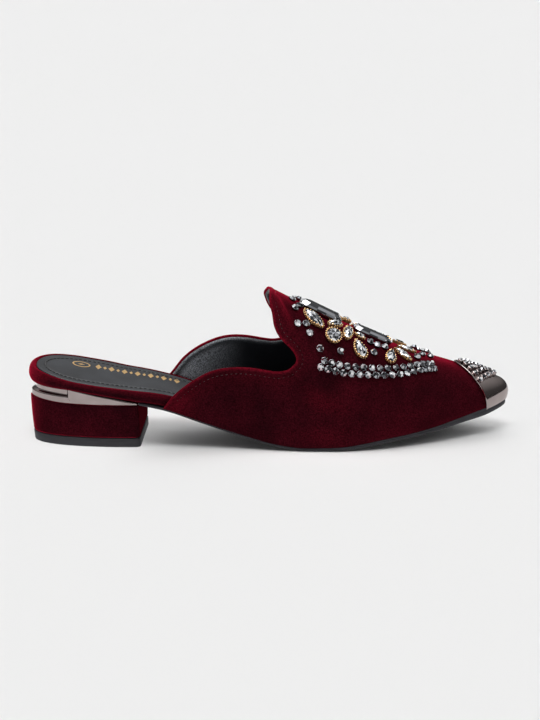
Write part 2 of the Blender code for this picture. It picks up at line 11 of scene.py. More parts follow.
import bmesh
import bpy
import numpy as np
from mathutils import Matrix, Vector
from mathutils.kdtree import KDTree


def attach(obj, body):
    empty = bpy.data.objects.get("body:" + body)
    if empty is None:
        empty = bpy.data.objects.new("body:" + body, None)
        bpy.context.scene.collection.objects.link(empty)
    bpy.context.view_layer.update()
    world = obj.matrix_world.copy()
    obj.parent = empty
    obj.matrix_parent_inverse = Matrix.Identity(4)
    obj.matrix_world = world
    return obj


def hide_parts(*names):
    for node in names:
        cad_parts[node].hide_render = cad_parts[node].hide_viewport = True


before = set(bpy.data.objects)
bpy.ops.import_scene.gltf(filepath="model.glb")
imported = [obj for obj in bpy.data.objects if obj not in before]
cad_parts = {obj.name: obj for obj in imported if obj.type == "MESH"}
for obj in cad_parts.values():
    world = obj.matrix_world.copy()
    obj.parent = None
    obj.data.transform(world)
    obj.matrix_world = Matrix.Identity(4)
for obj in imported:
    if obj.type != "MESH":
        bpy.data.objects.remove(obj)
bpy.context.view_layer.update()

# Driving dimensions, in millimetres
MM = 0.001
LENGTH = 270.0
ORIGIN = np.array([134.9, 2.4, 0.0])
GAP = 0.3
WALL = 1.8
CAP_WALL = 0.9
TOE_ROUND = 15.0
SIDES = {"lateral": -1.0, "medial": 1.0}
QUARTER = math.pi / 2
NEAR_RIDGE = QUARTER - 0.02

# Edges of a mesh that turn by more degrees than these look sharp
HARD_SHARP = 38.0
RUBBER_SHARP = 50.0
SOFT_SHARP = 60.0

# Sole: plan edges, height of its underside and its thickness, by distance from the heel's back
SOLE_COLUMNS = ("x", "lateral", "medial", "ground", "thick")
SOLE_ROWS = (
    (60.0, -24.0, 24.0, 25.2, 1.2),
    (76.0, -23.6, 22.4, 21.4, 1.6),
    (95.0, -24.0, 21.6, 14.6, 1.5),
    (108.0, -25.2, 22.4, 10.2, 1.4),
    (121.0, -26.8, 24.4, 6.2, 1.4),
    (134.0, -28.9, 27.4, 2.6, 1.4),
    (144.0, -30.5, 30.0, 0.9, 1.5),
    (152.0, -31.5, 32.0, 0.0, 1.7),
    (170.0, -32.4, 35.8, 0.0, 2.1),
    (183.0, -31.6, 37.2, 1.4, 2.2),
    (197.0, -29.0, 37.0, 3.5, 2.3),
    (210.0, -25.2, 35.0, 5.0, 2.3),
    (225.0, -19.2, 31.2, 6.8, 2.7),
    (240.0, -12.0, 26.6, 9.3, 3.3),
    (255.0, -4.2, 21.6, 11.5, 4.2),
    (270.0, 3.0, 16.4, 15.1, 4.0),
)
SOLE_FRONT = 268.2
SOLE_BACK = 63.3
SOLE_TOE_DRAW = 1.5
# Profile of the sole's edge, with a fine groove (columns: inset, share of the thickness)
SOLE_PROFILE = (
    (1.6, 0.0),
    (0.6, 0.0),
    (0.25, 0.08),
    (0.05, 0.2),
    (0.0, 0.34),
    (0.0, 0.62),
    (0.14, 0.68),
    (0.14, 0.74),
    (0.0, 0.80),
    (0.0, 0.93),
    (0.12, 1.0),
    (1.2, 1.0),
)

# Upper: ridge line, how far the wall stands out past the sole's edge at its foot and at its fullest
UPPER_COLUMNS = ("x", "ridge_y", "ridge_z", "overhang", "bulge")
UPPER_ROWS = (
    (70.0, 2.0, 126.0, 2.6, 0.6),
    (95.0, 2.0, 109.5, 2.2, 1.2),
    (115.0, 2.0, 96.0, 1.6, 1.8),
    (134.0, 2.0, 84.8, 1.0, 2.4),
    (146.0, 2.4, 78.2, 0.6, 2.8),
    (160.0, 3.0, 71.1, 0.5, 3.0),
    (175.0, 3.6, 63.6, 0.5, 3.0),
    (190.0, 4.2, 56.6, 0.5, 2.8),
    (207.0, 5.2, 49.2, 0.5, 2.4),
    (223.0, 6.2, 44.0, 0.5, 2.0),
    (240.0, 7.4, 38.8, 0.5, 1.6),
    (255.0, 8.4, 32.8, 0.5, 1.2),
    (270.0, 9.0, 27.4, 0.4, 0.8),
)
UPPER_SQUARE = 0.80
UPPER_FRONT = LENGTH - GAP - CAP_WALL
NOSE_SLOPE = 5.6
NOSE_TUCK = 1.0
TUCK_RISE = 0.24
CLIMB_SHARES = (0.0, 0.25, 0.70, 1.0)
CLIMB_DEGREES = (0.0, 28.0, 57.0, 90.0)

# Topline: the edge of the upper, from the sole up over the wing, round the side notch and up the tongue
# (columns: x, z)
TOPLINE_LATERAL = (
    (75.0, 22.6),
    (80.5, 30.7),
    (91.9, 39.8),
    (102.0, 45.0),
    (113.0, 47.0),
    (126.0, 46.6),
    (137.0, 44.8),
    (144.0, 46.4),
    (148.0, 51.4),
    (145.4, 56.6),
    (139.2, 62.4),
    (136.0, 68.6),
    (135.0, 75.0),
    (133.8, 80.8),
    (134.4, 84.8),
)
TOPLINE_MEDIAL = (
    (73.0, 23.8),
    (78.4, 30.2),
    (86.0, 39.8),
    (99.3, 48.8),
    (112.0, 52.4),
    (124.2, 51.6),
    (135.0, 49.0),
    (142.5, 50.2),
    (146.6, 54.6),
    (144.0, 59.0),
    (137.6, 64.8),
    (133.6, 71.0),
    (131.9, 75.6),
    (131.2, 78.6),
    (132.6, 82.6),
    (134.4, 84.8),
)

# Edge of the upper: velvet turned over a rounded edge, a stitched line below it, the lining set back
VELVET_THICK = 1.0
EDGE_ROUND = 1.6
EDGE_PILLOW = 0.22
PILLOW_AT = 2.0
PILLOW_WIDE = 1.0
PILLOW_START = 0.8
INNER_ROUND = 0.5
STITCH_DEEP = 0.24
STITCH_GROOVE = 0.55
STITCH_INSET = 3.6
STITCH_EVERY = 2.6
STITCH_LONG = 1.1
STITCH_RADIUS = 0.15
LINING_INSET = 1.3
LINING_ROLL = 0.5
LINING_ROLL_AT = 2.7
LINING_ROLL_WIDE = 0.9
LINING_ROUND = 0.4
LINING_DROP = 0.38
LINING_GROOVE = 0.22
LINING_GROOVE_WIDE = 0.45
LINING_CLEAR = 0.04
# One stitch (columns: place along its half length, height and thickness by its radius)
STITCH_ROWS = (
    (-1.0, -1.2, 0.35),
    (-0.8, -0.3, 0.8),
    (-0.3, 0.25, 1.0),
    (0.3, 0.25, 1.0),
    (0.8, -0.3, 0.8),
    (1.0, -1.2, 0.35),
)

# Painted sheen on the upper: how much lighter its velvet's colour is painted at each place
UPPER_PAINTED_LIGHT = {
    "outer_edge": 0.36,
    "inner_edge": 1.0,
    "ridge": 0.08,
    "tongue": 0.05,
    "folds": 0.20,
    "heel_end": 0.14,
    "front": 0.022,
    "below_edge": 0.030,
    "ball": 0.060,
}
# Faces whose stored value is below this on average take the velvet's shaded copy: painted shade
SHADED_BELOW = -0.4

# Creases of the velvet, as soft ridges and troughs through places on the upper, clear of its edge
# (columns: side, places as x and fall from the ridge, half width, height)
CREASE_START = 3.0
CREASES = (
    ("lateral", ((147.5, 26.0), (143.0, 19.6), (139.4, 13.0), (136.6, 6.0)), 1.7, 0.75),
    ("lateral", ((150.5, 25.4), (146.2, 18.4), (142.6, 11.4), (139.6, 4.0)), 2.0, -0.55),
    ("medial", ((146.5, 25.0), (142.4, 18.8), (138.6, 12.0)), 1.7, 0.65),
    ("medial", ((149.5, 24.4), (145.4, 17.6), (141.8, 10.6)), 2.0, -0.50),
    ("lateral", ((96.0, 84.0), (112.0, 72.0), (130.0, 64.0)), 5.0, -0.35),
    ("lateral", ((150.0, 55.0), (162.0, 60.0), (176.0, 60.0)), 5.5, 0.35),
    ("medial", ((150.0, 54.0), (164.0, 60.0), (180.0, 58.0)), 5.5, 0.35),
)

# Footbed and the sock lining on it: plan edges of the heel seat and underside of the bed, then the top
# of the sock along its outer edge and how much higher its inner edge is
SEAT_COLUMNS = ("x", "lateral", "medial", "under")
SEAT_ROWS = (
    (0.0, -26.6, 27.0, 33.5),
    (12.0, -26.6, 27.0, 33.9),
    (22.0, -26.6, 27.0, 33.6),
    (32.0, -26.6, 27.0, 32.0),
    (42.0, -26.4, 26.8, 30.0),
    (52.0, -26.0, 26.2, 28.0),
    (62.0, -25.6, 25.4, 26.0),
)
SOCK_COLUMNS = ("x", "top", "roll")
SOCK_ROWS = (
    (0.0, 42.6, 2.4),
    (10.0, 41.4, 2.4),
    (20.0, 39.3, 2.4),
    (40.0, 35.6, 2.3),
    (56.0, 33.3, 1.2),
    (68.0, 31.6, 1.1),
    (80.0, 29.0, 1.3),
    (95.0, 24.4, 1.0),
    (110.0, 18.4, 0.4),
    (125.0, 12.9, 0.0),
    (140.0, 8.8, 0.0),
    (155.0, 6.8, 0.0),
    (170.0, 6.8, 0.0),
    (185.0, 8.0, 0.0),
    (200.0, 10.0, 0.0),
    (215.0, 11.8, 0.0),
    (230.0, 14.2, 0.0),
    (245.0, 17.0, 0.0),
    (270.0, 21.6, 0.0),
)
SEAT_ROUND = 31.0
SEAT_POWER = 0.9
SEAT_MERGE = (60.0, 78.0)
BED_CLEAR = 0.5
BED_FRONT = 263.6
BED_TOE_DRAW = 1.6
BED_TURN = 30.0
SOCK_THICK = 1.2
SOCK_PILLOW = 0.06
RIM_DROP = 0.1
SOCK_INSET = 4.4
SOCK_STITCH_INSET = 9.2
SOCK_STITCH_END = 150.0
SOCK_STITCH_SUNK = 0.12
# Profile of the sock from its edge inwards (columns: further inset, height)
SOCK_EDGE = (
    (0.0, -SOCK_THICK),
    (0.0, -0.5),
    (0.08, -0.25),
    (0.3, -0.06),
    (0.7, 0.0),
    (2.0, 0.06),
    (3.4, 0.03),
)
# The same on from the groove of its stitches
SOCK_GROOVE = (
    (-0.9, -0.02),
    (-0.5, -0.2),
    (0.0, -0.35),
    (0.5, -0.2),
    (1.0, 0.04),
    (1.9, 0.12),
    (3.3, 0.12),
    (5.8, 0.06),
    (8.8, 0.0),
)
# Profile of the velvet rim, from its underside over the outside to the lip
# (columns: inset, share of the height)
RIM_ROWS = (
    (3.4, 0.0),
    (1.0, 0.20),
    (0.0, 0.52),
    (0.5, 0.82),
    (1.4, 0.95),
    (2.4, 1.0),
    (3.4, 0.99),
    (4.0, 0.90),
)

# Gold ornament on the sock: an oval ring (middle, half sizes) and a row of lozenges (start, end)
ORNAMENT_RING = (28.5, 9.6, 5.0, 4.4)
ORNAMENT_ROW = (38.0, 9.8, 82.0, 8.4)
ORNAMENT_COUNT = 13
ORNAMENT_SIZES = (1.7, 1.0)
ORNAMENT_STRETCH = 2.4
ORNAMENT_EYE = (1.9, 1.0)
ORNAMENT_HOLE = (0.84, 0.80)
ORNAMENT_LEVELS = (-0.1, 0.06)

# Heel: rubber tip, velvet block and metal band, skewed a little in plan
HEEL_SKEW = 0.07
HEEL_AXIS_Y = 0.5
HEEL_CORNER = 2.2
TIP_HEIGHT = 5.2
BLOCK_TOP = 24.6
BLOCK_RISE = 1.5
BLOCK_RISE_END = 22.0
BLOCK_ROUND = 0.8
BLOCK_DROP = 0.6
BLOCK_BELLY = 0.25
# Each storey is half an ellipse in plan with a flat breast, squarer the smaller its power
# (columns: back, front, half width, power)
HEEL_ROWS = {
    "tip_foot": (2.2, 63.8, 22.0, 0.80),
    "tip_head": (1.8, 63.6, 22.4, 0.80),
    "block_foot": (1.8, 63.4, 22.3, 0.84),
    "block_head": (0.5, 62.8, 24.6, 1.0),
    "band_foot": (1.2, 62.0, 24.0, 1.0),
    "band_head": (3.9, 61.2, 23.4, 1.0),
}
# Edges of the rubber tip (columns: storey, inset, height)
TIP_PROFILE = (
    ("tip_foot", 2.0, 0.0),
    ("tip_foot", 0.5, 0.0),
    ("tip_foot", 0.15, 0.15),
    ("tip_foot", 0.0, 0.5),
    ("tip_head", 0.0, TIP_HEIGHT - 0.35),
    ("tip_head", 0.12, TIP_HEIGHT - 0.08),
    ("tip_head", 0.4, TIP_HEIGHT),
)
# Side plates of the band (columns: x, lower edge, upper edge)
PLATE_ROWS = (
    (22.6, 28.4, 33.4),
    (23.4, 26.9, 33.3),
    (27.5, 25.6, 32.6),
    (40.0, 25.1, 30.2),
    (53.0, 25.0, 27.7),
    (60.6, 25.0, 26.3),
    (63.0, 25.2, 25.6),
)
PLATE_PROUD = 0.7
PLATE_ROUND = 0.7
PLATE_DROP = 0.8
BAND_SWEEP = (0.36, 0.2)
# Lower half of a plate's section (columns: share of its height, share of how far it stands proud)
PLATE_PROFILE = ((0.0, -1.6), (0.0, 0.0), (0.015, 0.62), (0.06, 0.88), (0.14, 1.0), (0.5, 1.0))

# Toe cap: its edge at the sole, how much further back it reaches along the ridge, the bead along that edge
CAP_SIDE = 255.2
CAP_REACH = 17.0
CAP_SWEEP = 1.2
CAP_BEAD = 0.34
CAP_EDGE_OUT = 0.35
CAP_EDGE_IN = 0.3
CAP_EDGE_DROP = 0.4

# Jewels: place along the shoe and down from the ridge, turn about the surface normal, and sizes
# (columns: name, cut, x, fall, turn, long, wide, high)
RIDGE_JEWELS = (
    ("baguette_rear", "baguette", 161.6, 2.2, 0.0, 25.0, 11.0, 3.7),
    ("baguette_front", "baguette", 190.8, 2.2, 0.0, 22.5, 9.8, 3.1),
    ("marquise_ridge", "marquise", 210.8, 2.4, 8.0, 12.0, 5.0, 1.8),
    ("stone_ridge_1", "round", 146.4, 2.4, 0.0, 4.2, 4.2, 1.8),
    ("stone_ridge_2", "round", 219.6, 3.4, 0.0, 4.0, 4.0, 1.8),
    ("stone_ridge_3", "round", 224.2, 2.8, 0.0, 4.0, 4.0, 1.8),
)
SIDE_JEWELS = (
    ("marquise_rear", "marquise", 157.6, 14.2, 32.0, 16.0, 8.4, 3.2),
    ("oval_small", "oval", 169.6, 10.4, -36.0, 11.0, 4.8, 3.0),
    ("round_large", "oval", 168.4, 20.4, 90.0, 10.8, 9.8, 3.6),
    ("oval_upright", "oval", 176.6, 13.4, 96.0, 13.4, 6.0, 3.0),
    ("pear_middle", "pear", 182.8, 22.0, 238.0, 13.4, 8.2, 3.4),
    ("pear_front", "pear", 200.4, 17.6, 278.0, 11.5, 7.0, 3.0),
    ("marquise_middle", "marquise", 183.6, 11.5, 20.0, 7.2, 3.4, 2.4),
    ("marquise_low", "marquise", 207.8, 11.8, 42.0, 13.2, 5.2, 2.2),
)
# Single rhinestones on both sides (columns: x, fall)
SIDE_STONES = (
    (150.2, 7.4),
    (147.6, 11.8),
    (148.8, 22.0),
    (153.4, 20.0),
    (155.4, 24.8),
    (160.8, 31.6),
    (172.2, 28.4),
    (190.8, 20.4),
    (189.2, 12.8),
    (193.0, 13.2),
    (197.4, 11.8),
    (216.0, 9.8),
)
STONE_LONG = 4.2
STONE_HIGH = 2.4
GIRDLE_SHARE = 0.45
TABLE_SHARE = 0.58
SMALL_TABLE = 0.5
CROWN_SHARE = 0.86
CROWN_RISE = 0.58
PEAK = 0.12
MARQUISE_POINT = 0.6
PEAR_POINT = 0.35
PEAR_WIDE = 1.12
SUNK = 0.8
# Corners of a stone's outline, in turns, and looks of its setting after those of its facets
DIAGONALS = (0.125, 0.375, 0.625, 0.875)
SETTING = 3
CUP = 4
# Facets, with painted reflection: bounds of the highlight and grey looks in a spread from 0 to 1, then the
# looks of a baguette's two rows of bevels and of its table, the corners that have claws, and its claws and
# steps
PAINTED_SHADE_SHARES = (0.28, 0.58)
BAGUETTE_BEVELS = [1, 2, 2, 2, 1, 0, 0, 1, 2, 1, 2, 1] + [1, 1, 1, 1, 1, 0, 0, 2, 1, 1, 1, 2]
BAGUETTE_TABLE = [2, 1, 1, 1, 1]
BAGUETTE_CLAWS = (0, 1, 4, 5, 6, 7, 10, 11)
CLAW_HALVES = (0.85, 0.5, 0.42)
CLAW_LEAN = (0.8, 0.6)
CLAW_SHIFT = 0.2
CLAW_RISE = 0.3
PRONG_HALVES = np.array([1.5, 1.0, 0.8])
PRONG_LEAN = (0.75, 0.65)
STEP_INSET = 0.25
STEP_RISE = 0.45

# Rhinestone borders: the middle line of a double row, as place along the shoe and down from the ridge
# (columns: x, fall)
BORDER_ROWS = (
    (161.0, 39.8),
    (172.0, 38.4),
    (184.0, 34.8),
    (196.0, 30.0),
    (208.0, 23.6),
    (218.0, 17.2),
    (225.0, 13.6),
)
BORDER_STONES = 16
BORDER_WIDE = 8.0
BORDER_HIGH = 2.2
BORDER_RADIUS = 1.98
BORDER_GIRDLE = 1.0
BORDER_BEAD = 0.55
BORDER_BEAD_RISE = 0.7

# Stone cluster on the toe cap: a diamond laid over the ridge
CLUSTER_BACK = 239.0
CLUSTER_FRONT = 262.6
CLUSTER_FALL = 14.2
CLUSTER_STONES = 5
CLUSTER_HIGH = 2.0
CLUSTER_LONG = 3.55
CLUSTER_RIM = CLUSTER_HIGH - 0.35

# Studio, in metres: shades of the sky by height over the horizon, glow of the floor and of a ring round
# the shoe, and small bright cards for glints
SKY_SHADES = ((0.0, 0.05), (0.3, 0.08), (0.6, 0.27), (0.78, 0.40), (0.9, 1.0))
SKY_STRENGTH = 1.4
FLOOR_REACH = 12.0
FLOOR_ALBEDO = 0.74
FLOOR_GLOW = 0.02
HORIZON_RADIUS = 9.0
HORIZON_LEVELS = (0.01, 3.2)
HORIZON_GLOW = 1.9
GLINT_CARDS = {"glint_left": (-0.7, -1.0, 1.3), "glint_right": (0.35, -1.1, 1.5)}
GLINT_TARGET = (0.0, 0.0, 0.05)
GLINT_SIZE = 0.16
GLINT_STRENGTH = 14.0
# Lamps for the shoe alone, then for the floor alone
# (columns: name, tilt from the camera's side, lean from the toe, spread, energy)
SHOE_LIGHTS = (
    ("from_heel", -4.0, -9.0, 40.0, 1.41),
    ("from_toe", -4.0, 9.0, 40.0, 1.41),
)
FLOOR_LIGHTS = (
    ("floor_front", 18.0, 0.0, 24.0, 1.24),
    ("floor_toe", 10.0, 40.0, 44.0, 0.95),
    ("floor_heel", 10.0, -40.0, 44.0, 0.50),
    ("floor_back", -48.0, 0.0, 70.0, 1.95),
)

# Camera, in metres and degrees
CAMERA_TARGET = (-0.00061, -0.0024, 0.04364)
CAMERA_AZIMUTH = -1.5
CAMERA_ELEVATION = 15.5
CAMERA_DISTANCE = 1.1
CAMERA_LENS = 98.49
CAMERA_SENSOR = 36.0


# Curves


def smooth_curve(xs, ys):
    """A curve through the points that never overshoots them, straight-lined past its ends."""
    xs = np.asarray(xs, float)
    ys = np.asarray(ys, float)
    steps = np.diff(xs)
    slopes = np.diff(ys) / steps
    tangents = np.zeros(len(xs))
    tangents[0] = slopes[0]
    tangents[-1] = slopes[-1]
    for i in range(1, len(xs) - 1):
        if slopes[i - 1] * slopes[i] > 0:
            before = 2 * steps[i] + steps[i - 1]
            after = steps[i] + 2 * steps[i - 1]
            tangents[i] = (before + after) / (before / slopes[i - 1] + after / slopes[i])

    def value(x):
        x = np.asarray(x, float)
        i = np.clip(np.searchsorted(xs, x) - 1, 0, len(steps) - 1)
        t = (x - xs[i]) / steps[i]
        inside = np.clip(t, 0, 1)
        blend = eased(inside)
        start_pull = inside * (1 - inside) ** 2 * tangents[i]
        end_pull = -inside * inside * (1 - inside) * tangents[i + 1]
        curve = ys[i] * (1 - blend) + ys[i + 1] * blend + steps[i] * (start_pull + end_pull)
        past = np.where(t < 0, tangents[i], tangents[i + 1]) * (t - inside) * steps[i]
        return curve + past

    return value


def softened(curve, low, high, spread):
    """The curve averaged over a short stretch, so that a fine surface shows no kinks."""
    step = spread / 8
    xs = np.arange(low - 10 * spread, high + 10 * spread, step)
    reach = np.arange(-4 * spread, 4 * spread + step, step)
    weights = np.exp(-0.5 * (reach / spread) ** 2)
    ys = np.convolve(curve(xs), weights / weights.sum(), "same")
    return lambda x: np.interp(x, xs, ys)


def column(rows, k):
    return [row[k] for row in rows]


def column_curves(columns, rows, spread):
    """A softened curve of every other column over the first one."""
    places = column(rows, 0)
    return {
        name: softened(smooth_curve(places, column(rows, k)), places[0], places[-1], spread)
        for k, name in enumerate(columns)
        if k
    }


def path_curves(rows):
    """A curve of each column over the share of the way through the rows."""
    share = np.linspace(0, 1, len(rows))
    return [smooth_curve(share, values) for values in zip(*rows)]


def eased(t):
    """A soft step from 0 to 1, level at both ends."""
    return t * t * (3 - 2 * t)


def bell(offset, width):
    """1 in the middle, falling off softly over the width."""
    return np.exp(-((offset / width) ** 2))


def ramp(value, start, span):
    """0 up to the start, rising to 1 over the span. A span below zero runs the other way."""
    return np.clip((value - start) / span, 0, 1)


def rounded(distance, radius, drop):
    """The fall of a rounded edge: the whole drop at its brink, none from the radius on."""
    t = np.clip(1 - distance / radius, 0, 1)
    return drop * (1 - np.sqrt(1 - t * t))


def toe_closing(x, front, radius):
    """1 along the shoe, falling to 0 at the front as a quarter ellipse."""
    t = ramp(x, front - radius, radius)
    return np.sqrt(1 - t * t)


def unit(vectors):
    return vectors / np.linalg.norm(vectors, axis=-1, keepdims=True)


def full_turn(count):
    return np.linspace(0, 2 * math.pi, count, endpoint=False)


def both_sides(rings):
    """One ring that runs up the lateral line and back down the medial one."""
    return np.concatenate([rings[0], rings[1][::-1]])


def run_of(line):
    """The way along a line of points to each of them."""
    return np.concatenate([[0], np.cumsum(np.linalg.norm(np.diff(line, axis=0), axis=1))])


def run_along(line, spacing):
    """Places at even spacing along a line of points, as positions between its points."""
    run = run_of(line)
    count = int(run[-1] / spacing)
    wanted = np.linspace(spacing / 2, run[-1] - spacing / 2, count)
    return np.interp(wanted, run, np.arange(len(line)))


def on_line(line, place):
    """Points of a line at positions between its points."""
    return np.stack([np.interp(place, np.arange(len(line)), line[:, k]) for k in range(3)], -1)


def distance_to(points, line):
    """Distance of every point to the nearest of a dense line of points, and which one that is."""
    tree = KDTree(len(line))
    for i, place in enumerate(line):
        tree.insert(place, i)
    tree.balance()
    found = [tree.find(place) for place in points.reshape(-1, 3)]
    shape = points.shape[:-1]
    return np.array(column(found, 2)).reshape(shape), np.array(column(found, 1)).reshape(shape)


SOLE = column_curves(SOLE_COLUMNS, SOLE_ROWS, 3.0)
UPPER = column_curves(UPPER_COLUMNS, UPPER_ROWS, 3.0)
SEAT = column_curves(SEAT_COLUMNS, SEAT_ROWS, 2.5)
SOCK = column_curves(SOCK_COLUMNS, SOCK_ROWS, 3.0)
CLIMB = smooth_curve(CLIMB_SHARES, CLIMB_DEGREES)


def sole_top(x):
    return SOLE["ground"](x) + SOLE["thick"](x)


def bed_under(x):
    """Underside of the footbed: over the heel band at the back, over the sole from the breast on."""
    return np.where(x < SEAT_ROWS[-1][0], SEAT["under"](x), sole_top(x) + GAP)


# The upper's surface


def climb_angles(shares):
    """Section angles at shares of the way from the sole to the ridge."""
    return np.radians(CLIMB(shares))


def nose_x(angle):
    """Where the section line at this angle reaches the toe: the nose profile, tucked in at the sole."""
    slope = NOSE_SLOPE * (1 - np.cos(angle)) ** 1.5
    tuck = NOSE_TUCK * (1 - np.sin(angle)) ** 3
    return UPPER_FRONT - slope - tuck


def upper_point(x, angle, side):
    """A point of the upper's outside. The angle runs from 0 at the sole to a right angle on the ridge."""
    sign = SIDES[side]
    ridge_y = UPPER["ridge_y"](x)
    foot_y = SOLE[side](x) + sign * UPPER["overhang"](x)
    full_y = foot_y + sign * UPPER["bulge"](x)
    rise = np.sin(angle)
    reach = np.clip(np.cos(angle), 0, 1) ** UPPER_SQUARE
    tuck = np.clip(1 - rise / TUCK_RISE, 0, 1) ** 2
    spread = (full_y - ridge_y) * reach - sign * UPPER["bulge"](x) * tuck
    y = ridge_y + spread * toe_closing(x, nose_x(angle), TOE_ROUND)
    foot_z = sole_top(x) + GAP
    z = foot_z + (UPPER["ridge_z"](x) - foot_z) * rise
    return np.stack(np.broadcast_arrays(x, y, z), -1)


def upper_normal(x, angle, side):
    step = 0.01
    along = upper_point(x + 20 * step, angle, side) - upper_point(x - 20 * step, angle, side)
    round_it = upper_point(x, angle + step, side) - upper_point(x, angle - step, side)
    return unit(np.cross(along, round_it) * -SIDES[side])


def topline(rows):
    """The topline's x as a curve over the section angle."""
    angles = []
    for x, z in rows:
        foot_z = float(sole_top(x) + GAP)
        rise = (z - foot_z) / (float(UPPER["ridge_z"](x)) - foot_z)
        angles.append(math.asin(min(max(rise, 0.0), 1.0)))
    return softened(smooth_curve(angles, column(rows, 0)), 0.0, QUARTER, 0.012)


TOPLINES = {"lateral": topline(TOPLINE_LATERAL), "medial": topline(TOPLINE_MEDIAL)}


def topline_start(side, angle):
    return TOPLINES[side](angle)


def cap_start(_, angle):
    return CAP_SIDE - CAP_REACH * (1 - np.cos(angle)) ** CAP_SWEEP


def edge_points(start_of, angles):
    """Points of an edge over both sides, from the lateral to the medial sole."""
    return both_sides([upper_point(start_of(side, angles), angles, side) for side in SIDES])


TOPLINE = edge_points(topline_start, np.linspace(0, QUARTER, 1500))


def from_topline(points):
    return distance_to(points, TOPLINE)[0]


def section_angle(x, fall, side):
    """The section angle that lies this far from the ridge, measured over the surface."""
    angles = np.linspace(QUARTER, 0, 181)
    line = upper_point(np.full(len(angles), float(x)), angles, side)
    return float(np.interp(fall, run_of(line), angles))


def place_on_upper(x, fall, side):
    """A point of the upper and the direction out of it."""
    angle = section_angle(x, fall, side)
    return upper_point(float(x), angle, side), upper_normal(float(x), min(angle, NEAR_RIDGE), side)


def over_the_ridge(angles):
    """Each side and section angle, from the lateral sole over the ridge to the medial sole."""
    return [("lateral", angle) for angle in angles] + [("medial", angle) for angle in angles[-2::-1]]


def wrap_grid(start_of, rows, round_rows, angle_steps, crowding):
    """Rows of points from the start edge to the nose, from lateral sole over the ridge to medial sole."""
    turn = np.linspace(0, QUARTER, round_rows + 1)[1:]
    columns = []
    for side, angle in over_the_ridge(climb_angles(np.linspace(0, 1, angle_steps + 1))):
        front = nose_x(angle)
        start = float(start_of(side, angle))
        radius = min(TOE_ROUND, 0.9 * (front - start))
        straight = start + (front - radius - start) * np.linspace(0, 1, rows + 1) ** crowding
        x = np.concatenate([straight, front - radius + radius * np.sin(turn)])
        columns.append(upper_point(x, angle, side))
    return np.stack(columns, 1)


def grid_normals(grid):
    """Outward normals of a wrapped grid. The last row is the nose, where the two sides meet."""
    longer = np.concatenate([grid, grid[-2:-1, ::-1]])
    along = np.gradient(longer, axis=0)[:-1]
    across = np.gradient(grid, axis=1)
    across[-1] = (across[-1] - across[-1, ::-1]) / 2 + across[-2] * 1e-6
    normals = np.cross(along, across)
    normals[-1] = normals[-2] + normals[-2, ::-1]
    return unit(normals)


def crease_offsets(grid):
    """How far the listed creases lift or sink every point of the upper."""
    total = np.zeros(grid.shape[:2])
    fine = np.linspace(0, 1, 60)
    for side, places, half_width, height in CREASES:
        path_x, path_fall = path_curves(places)
        path = zip(path_x(fine), path_fall(fine))
        line = np.array([place_on_upper(x, fall, side)[0] for x, fall in path])
        distance, nearest = distance_to(grid, line)
        fading = np.sin(math.pi * (nearest + 0.5) / len(fine)) ** 0.7
        total += height * fading * bell(distance, half_width)
    return total


# Gathering shapes into pieces


class Shape:
    """Points, faces and looks gathered from many small forms, to be joined in one mesh."""

    def __init__(self):
        self.points = []
        self.faces = []
        self.looks = []
        self.count = 0

    def add(self, points, faces, look=0):
        points = np.asarray(points, float).reshape(-1, 3)
        self.points.append(points)
        self.faces.extend([tuple(int(i) + self.count for i in face) for face in faces])
        self.looks.extend([look] * len(faces) if isinstance(look, int) else look)
        self.count += len(points)
        return self


def new_object(name, data):
    made = bpy.data.objects.new(name, data)
    bpy.context.scene.collection.objects.link(made)
    return made


def add_piece(name, shape, materials, nodes=(), sharp_degrees=HARD_SHARP, painted_light=None):
    """One object of the shoe from a shape in millimetres. Crystal faces stay flat, the others are smooth.

    With a function over points as the last argument, painted light from -1 to 1 is stored with the mesh:
    above 0 the colour is painted lighter, below 0 is painted shade. Faces where it is below the threshold
    take the second material.
    """
    metres = (np.concatenate(shape.points) - ORIGIN) * MM
    mesh = bpy.data.meshes.new(name)
    mesh.from_pydata(metres.tolist(), [], shape.faces)
    mesh.polygons.foreach_set("material_index", shape.looks)
    work = bmesh.new()
    work.from_mesh(mesh)
    bmesh.ops.remove_doubles(work, verts=work.verts, dist=1e-7)
    bmesh.ops.recalc_face_normals(work, faces=work.faces)
    work.to_mesh(mesh)
    work.free()
    mesh.shade_smooth()
    mesh.set_sharp_from_angle(angle=math.radians(sharp_degrees))
    for made in materials:
        mesh.materials.append(made)
    for face in mesh.polygons:
        if materials[face.material_index].name in FLAT_LOOKS:
            face.use_smooth = False
    if painted_light is not None:
        # The painted light of every point, stored for the materials to read
        places = np.array([vertex.co for vertex in mesh.vertices]) / MM + ORIGIN
        pile_and_painted_light = np.clip(painted_light(places), -1, 1)
        mesh.attributes.new("painted_light", "FLOAT", "POINT").data.foreach_set("value", pile_and_painted_light)
        # Faces below the threshold take the shaded copy of the material: painted shade
        for face in mesh.polygons:
            if np.mean(pile_and_painted_light[list(face.vertices)]) < SHADED_BELOW:
                face.material_index = 1
    piece = new_object(name, mesh)
    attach(piece, "root")
    if nodes:
        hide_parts(*nodes)
    return piece


def strips(base, size):
    """Faces across a ring that runs up one side and back down the other."""
    last = base + size - 1
    return [(base + i, base + i + 1, last - 1 - i, last - i) for i in range(size // 2 - 1)]


def loft(rings, ends="strips"):
    """A form through rings of points. Its ends are closed by strips, by flat faces, or open."""
    size = len(rings[0])
    last = (len(rings) - 1) * size
    faces = []
    for low in range(0, last, size):
        for i in range(size):
            after = (i + 1) % size
            faces.append((low + i, low + after, low + size + after, low + size + i))
    for base in (0, last):
        if ends == "strips":
            faces += strips(base, size)
        if ends == "flat":
            faces.append(tuple(range(base, base + size)))
    return np.concatenate(rings), faces


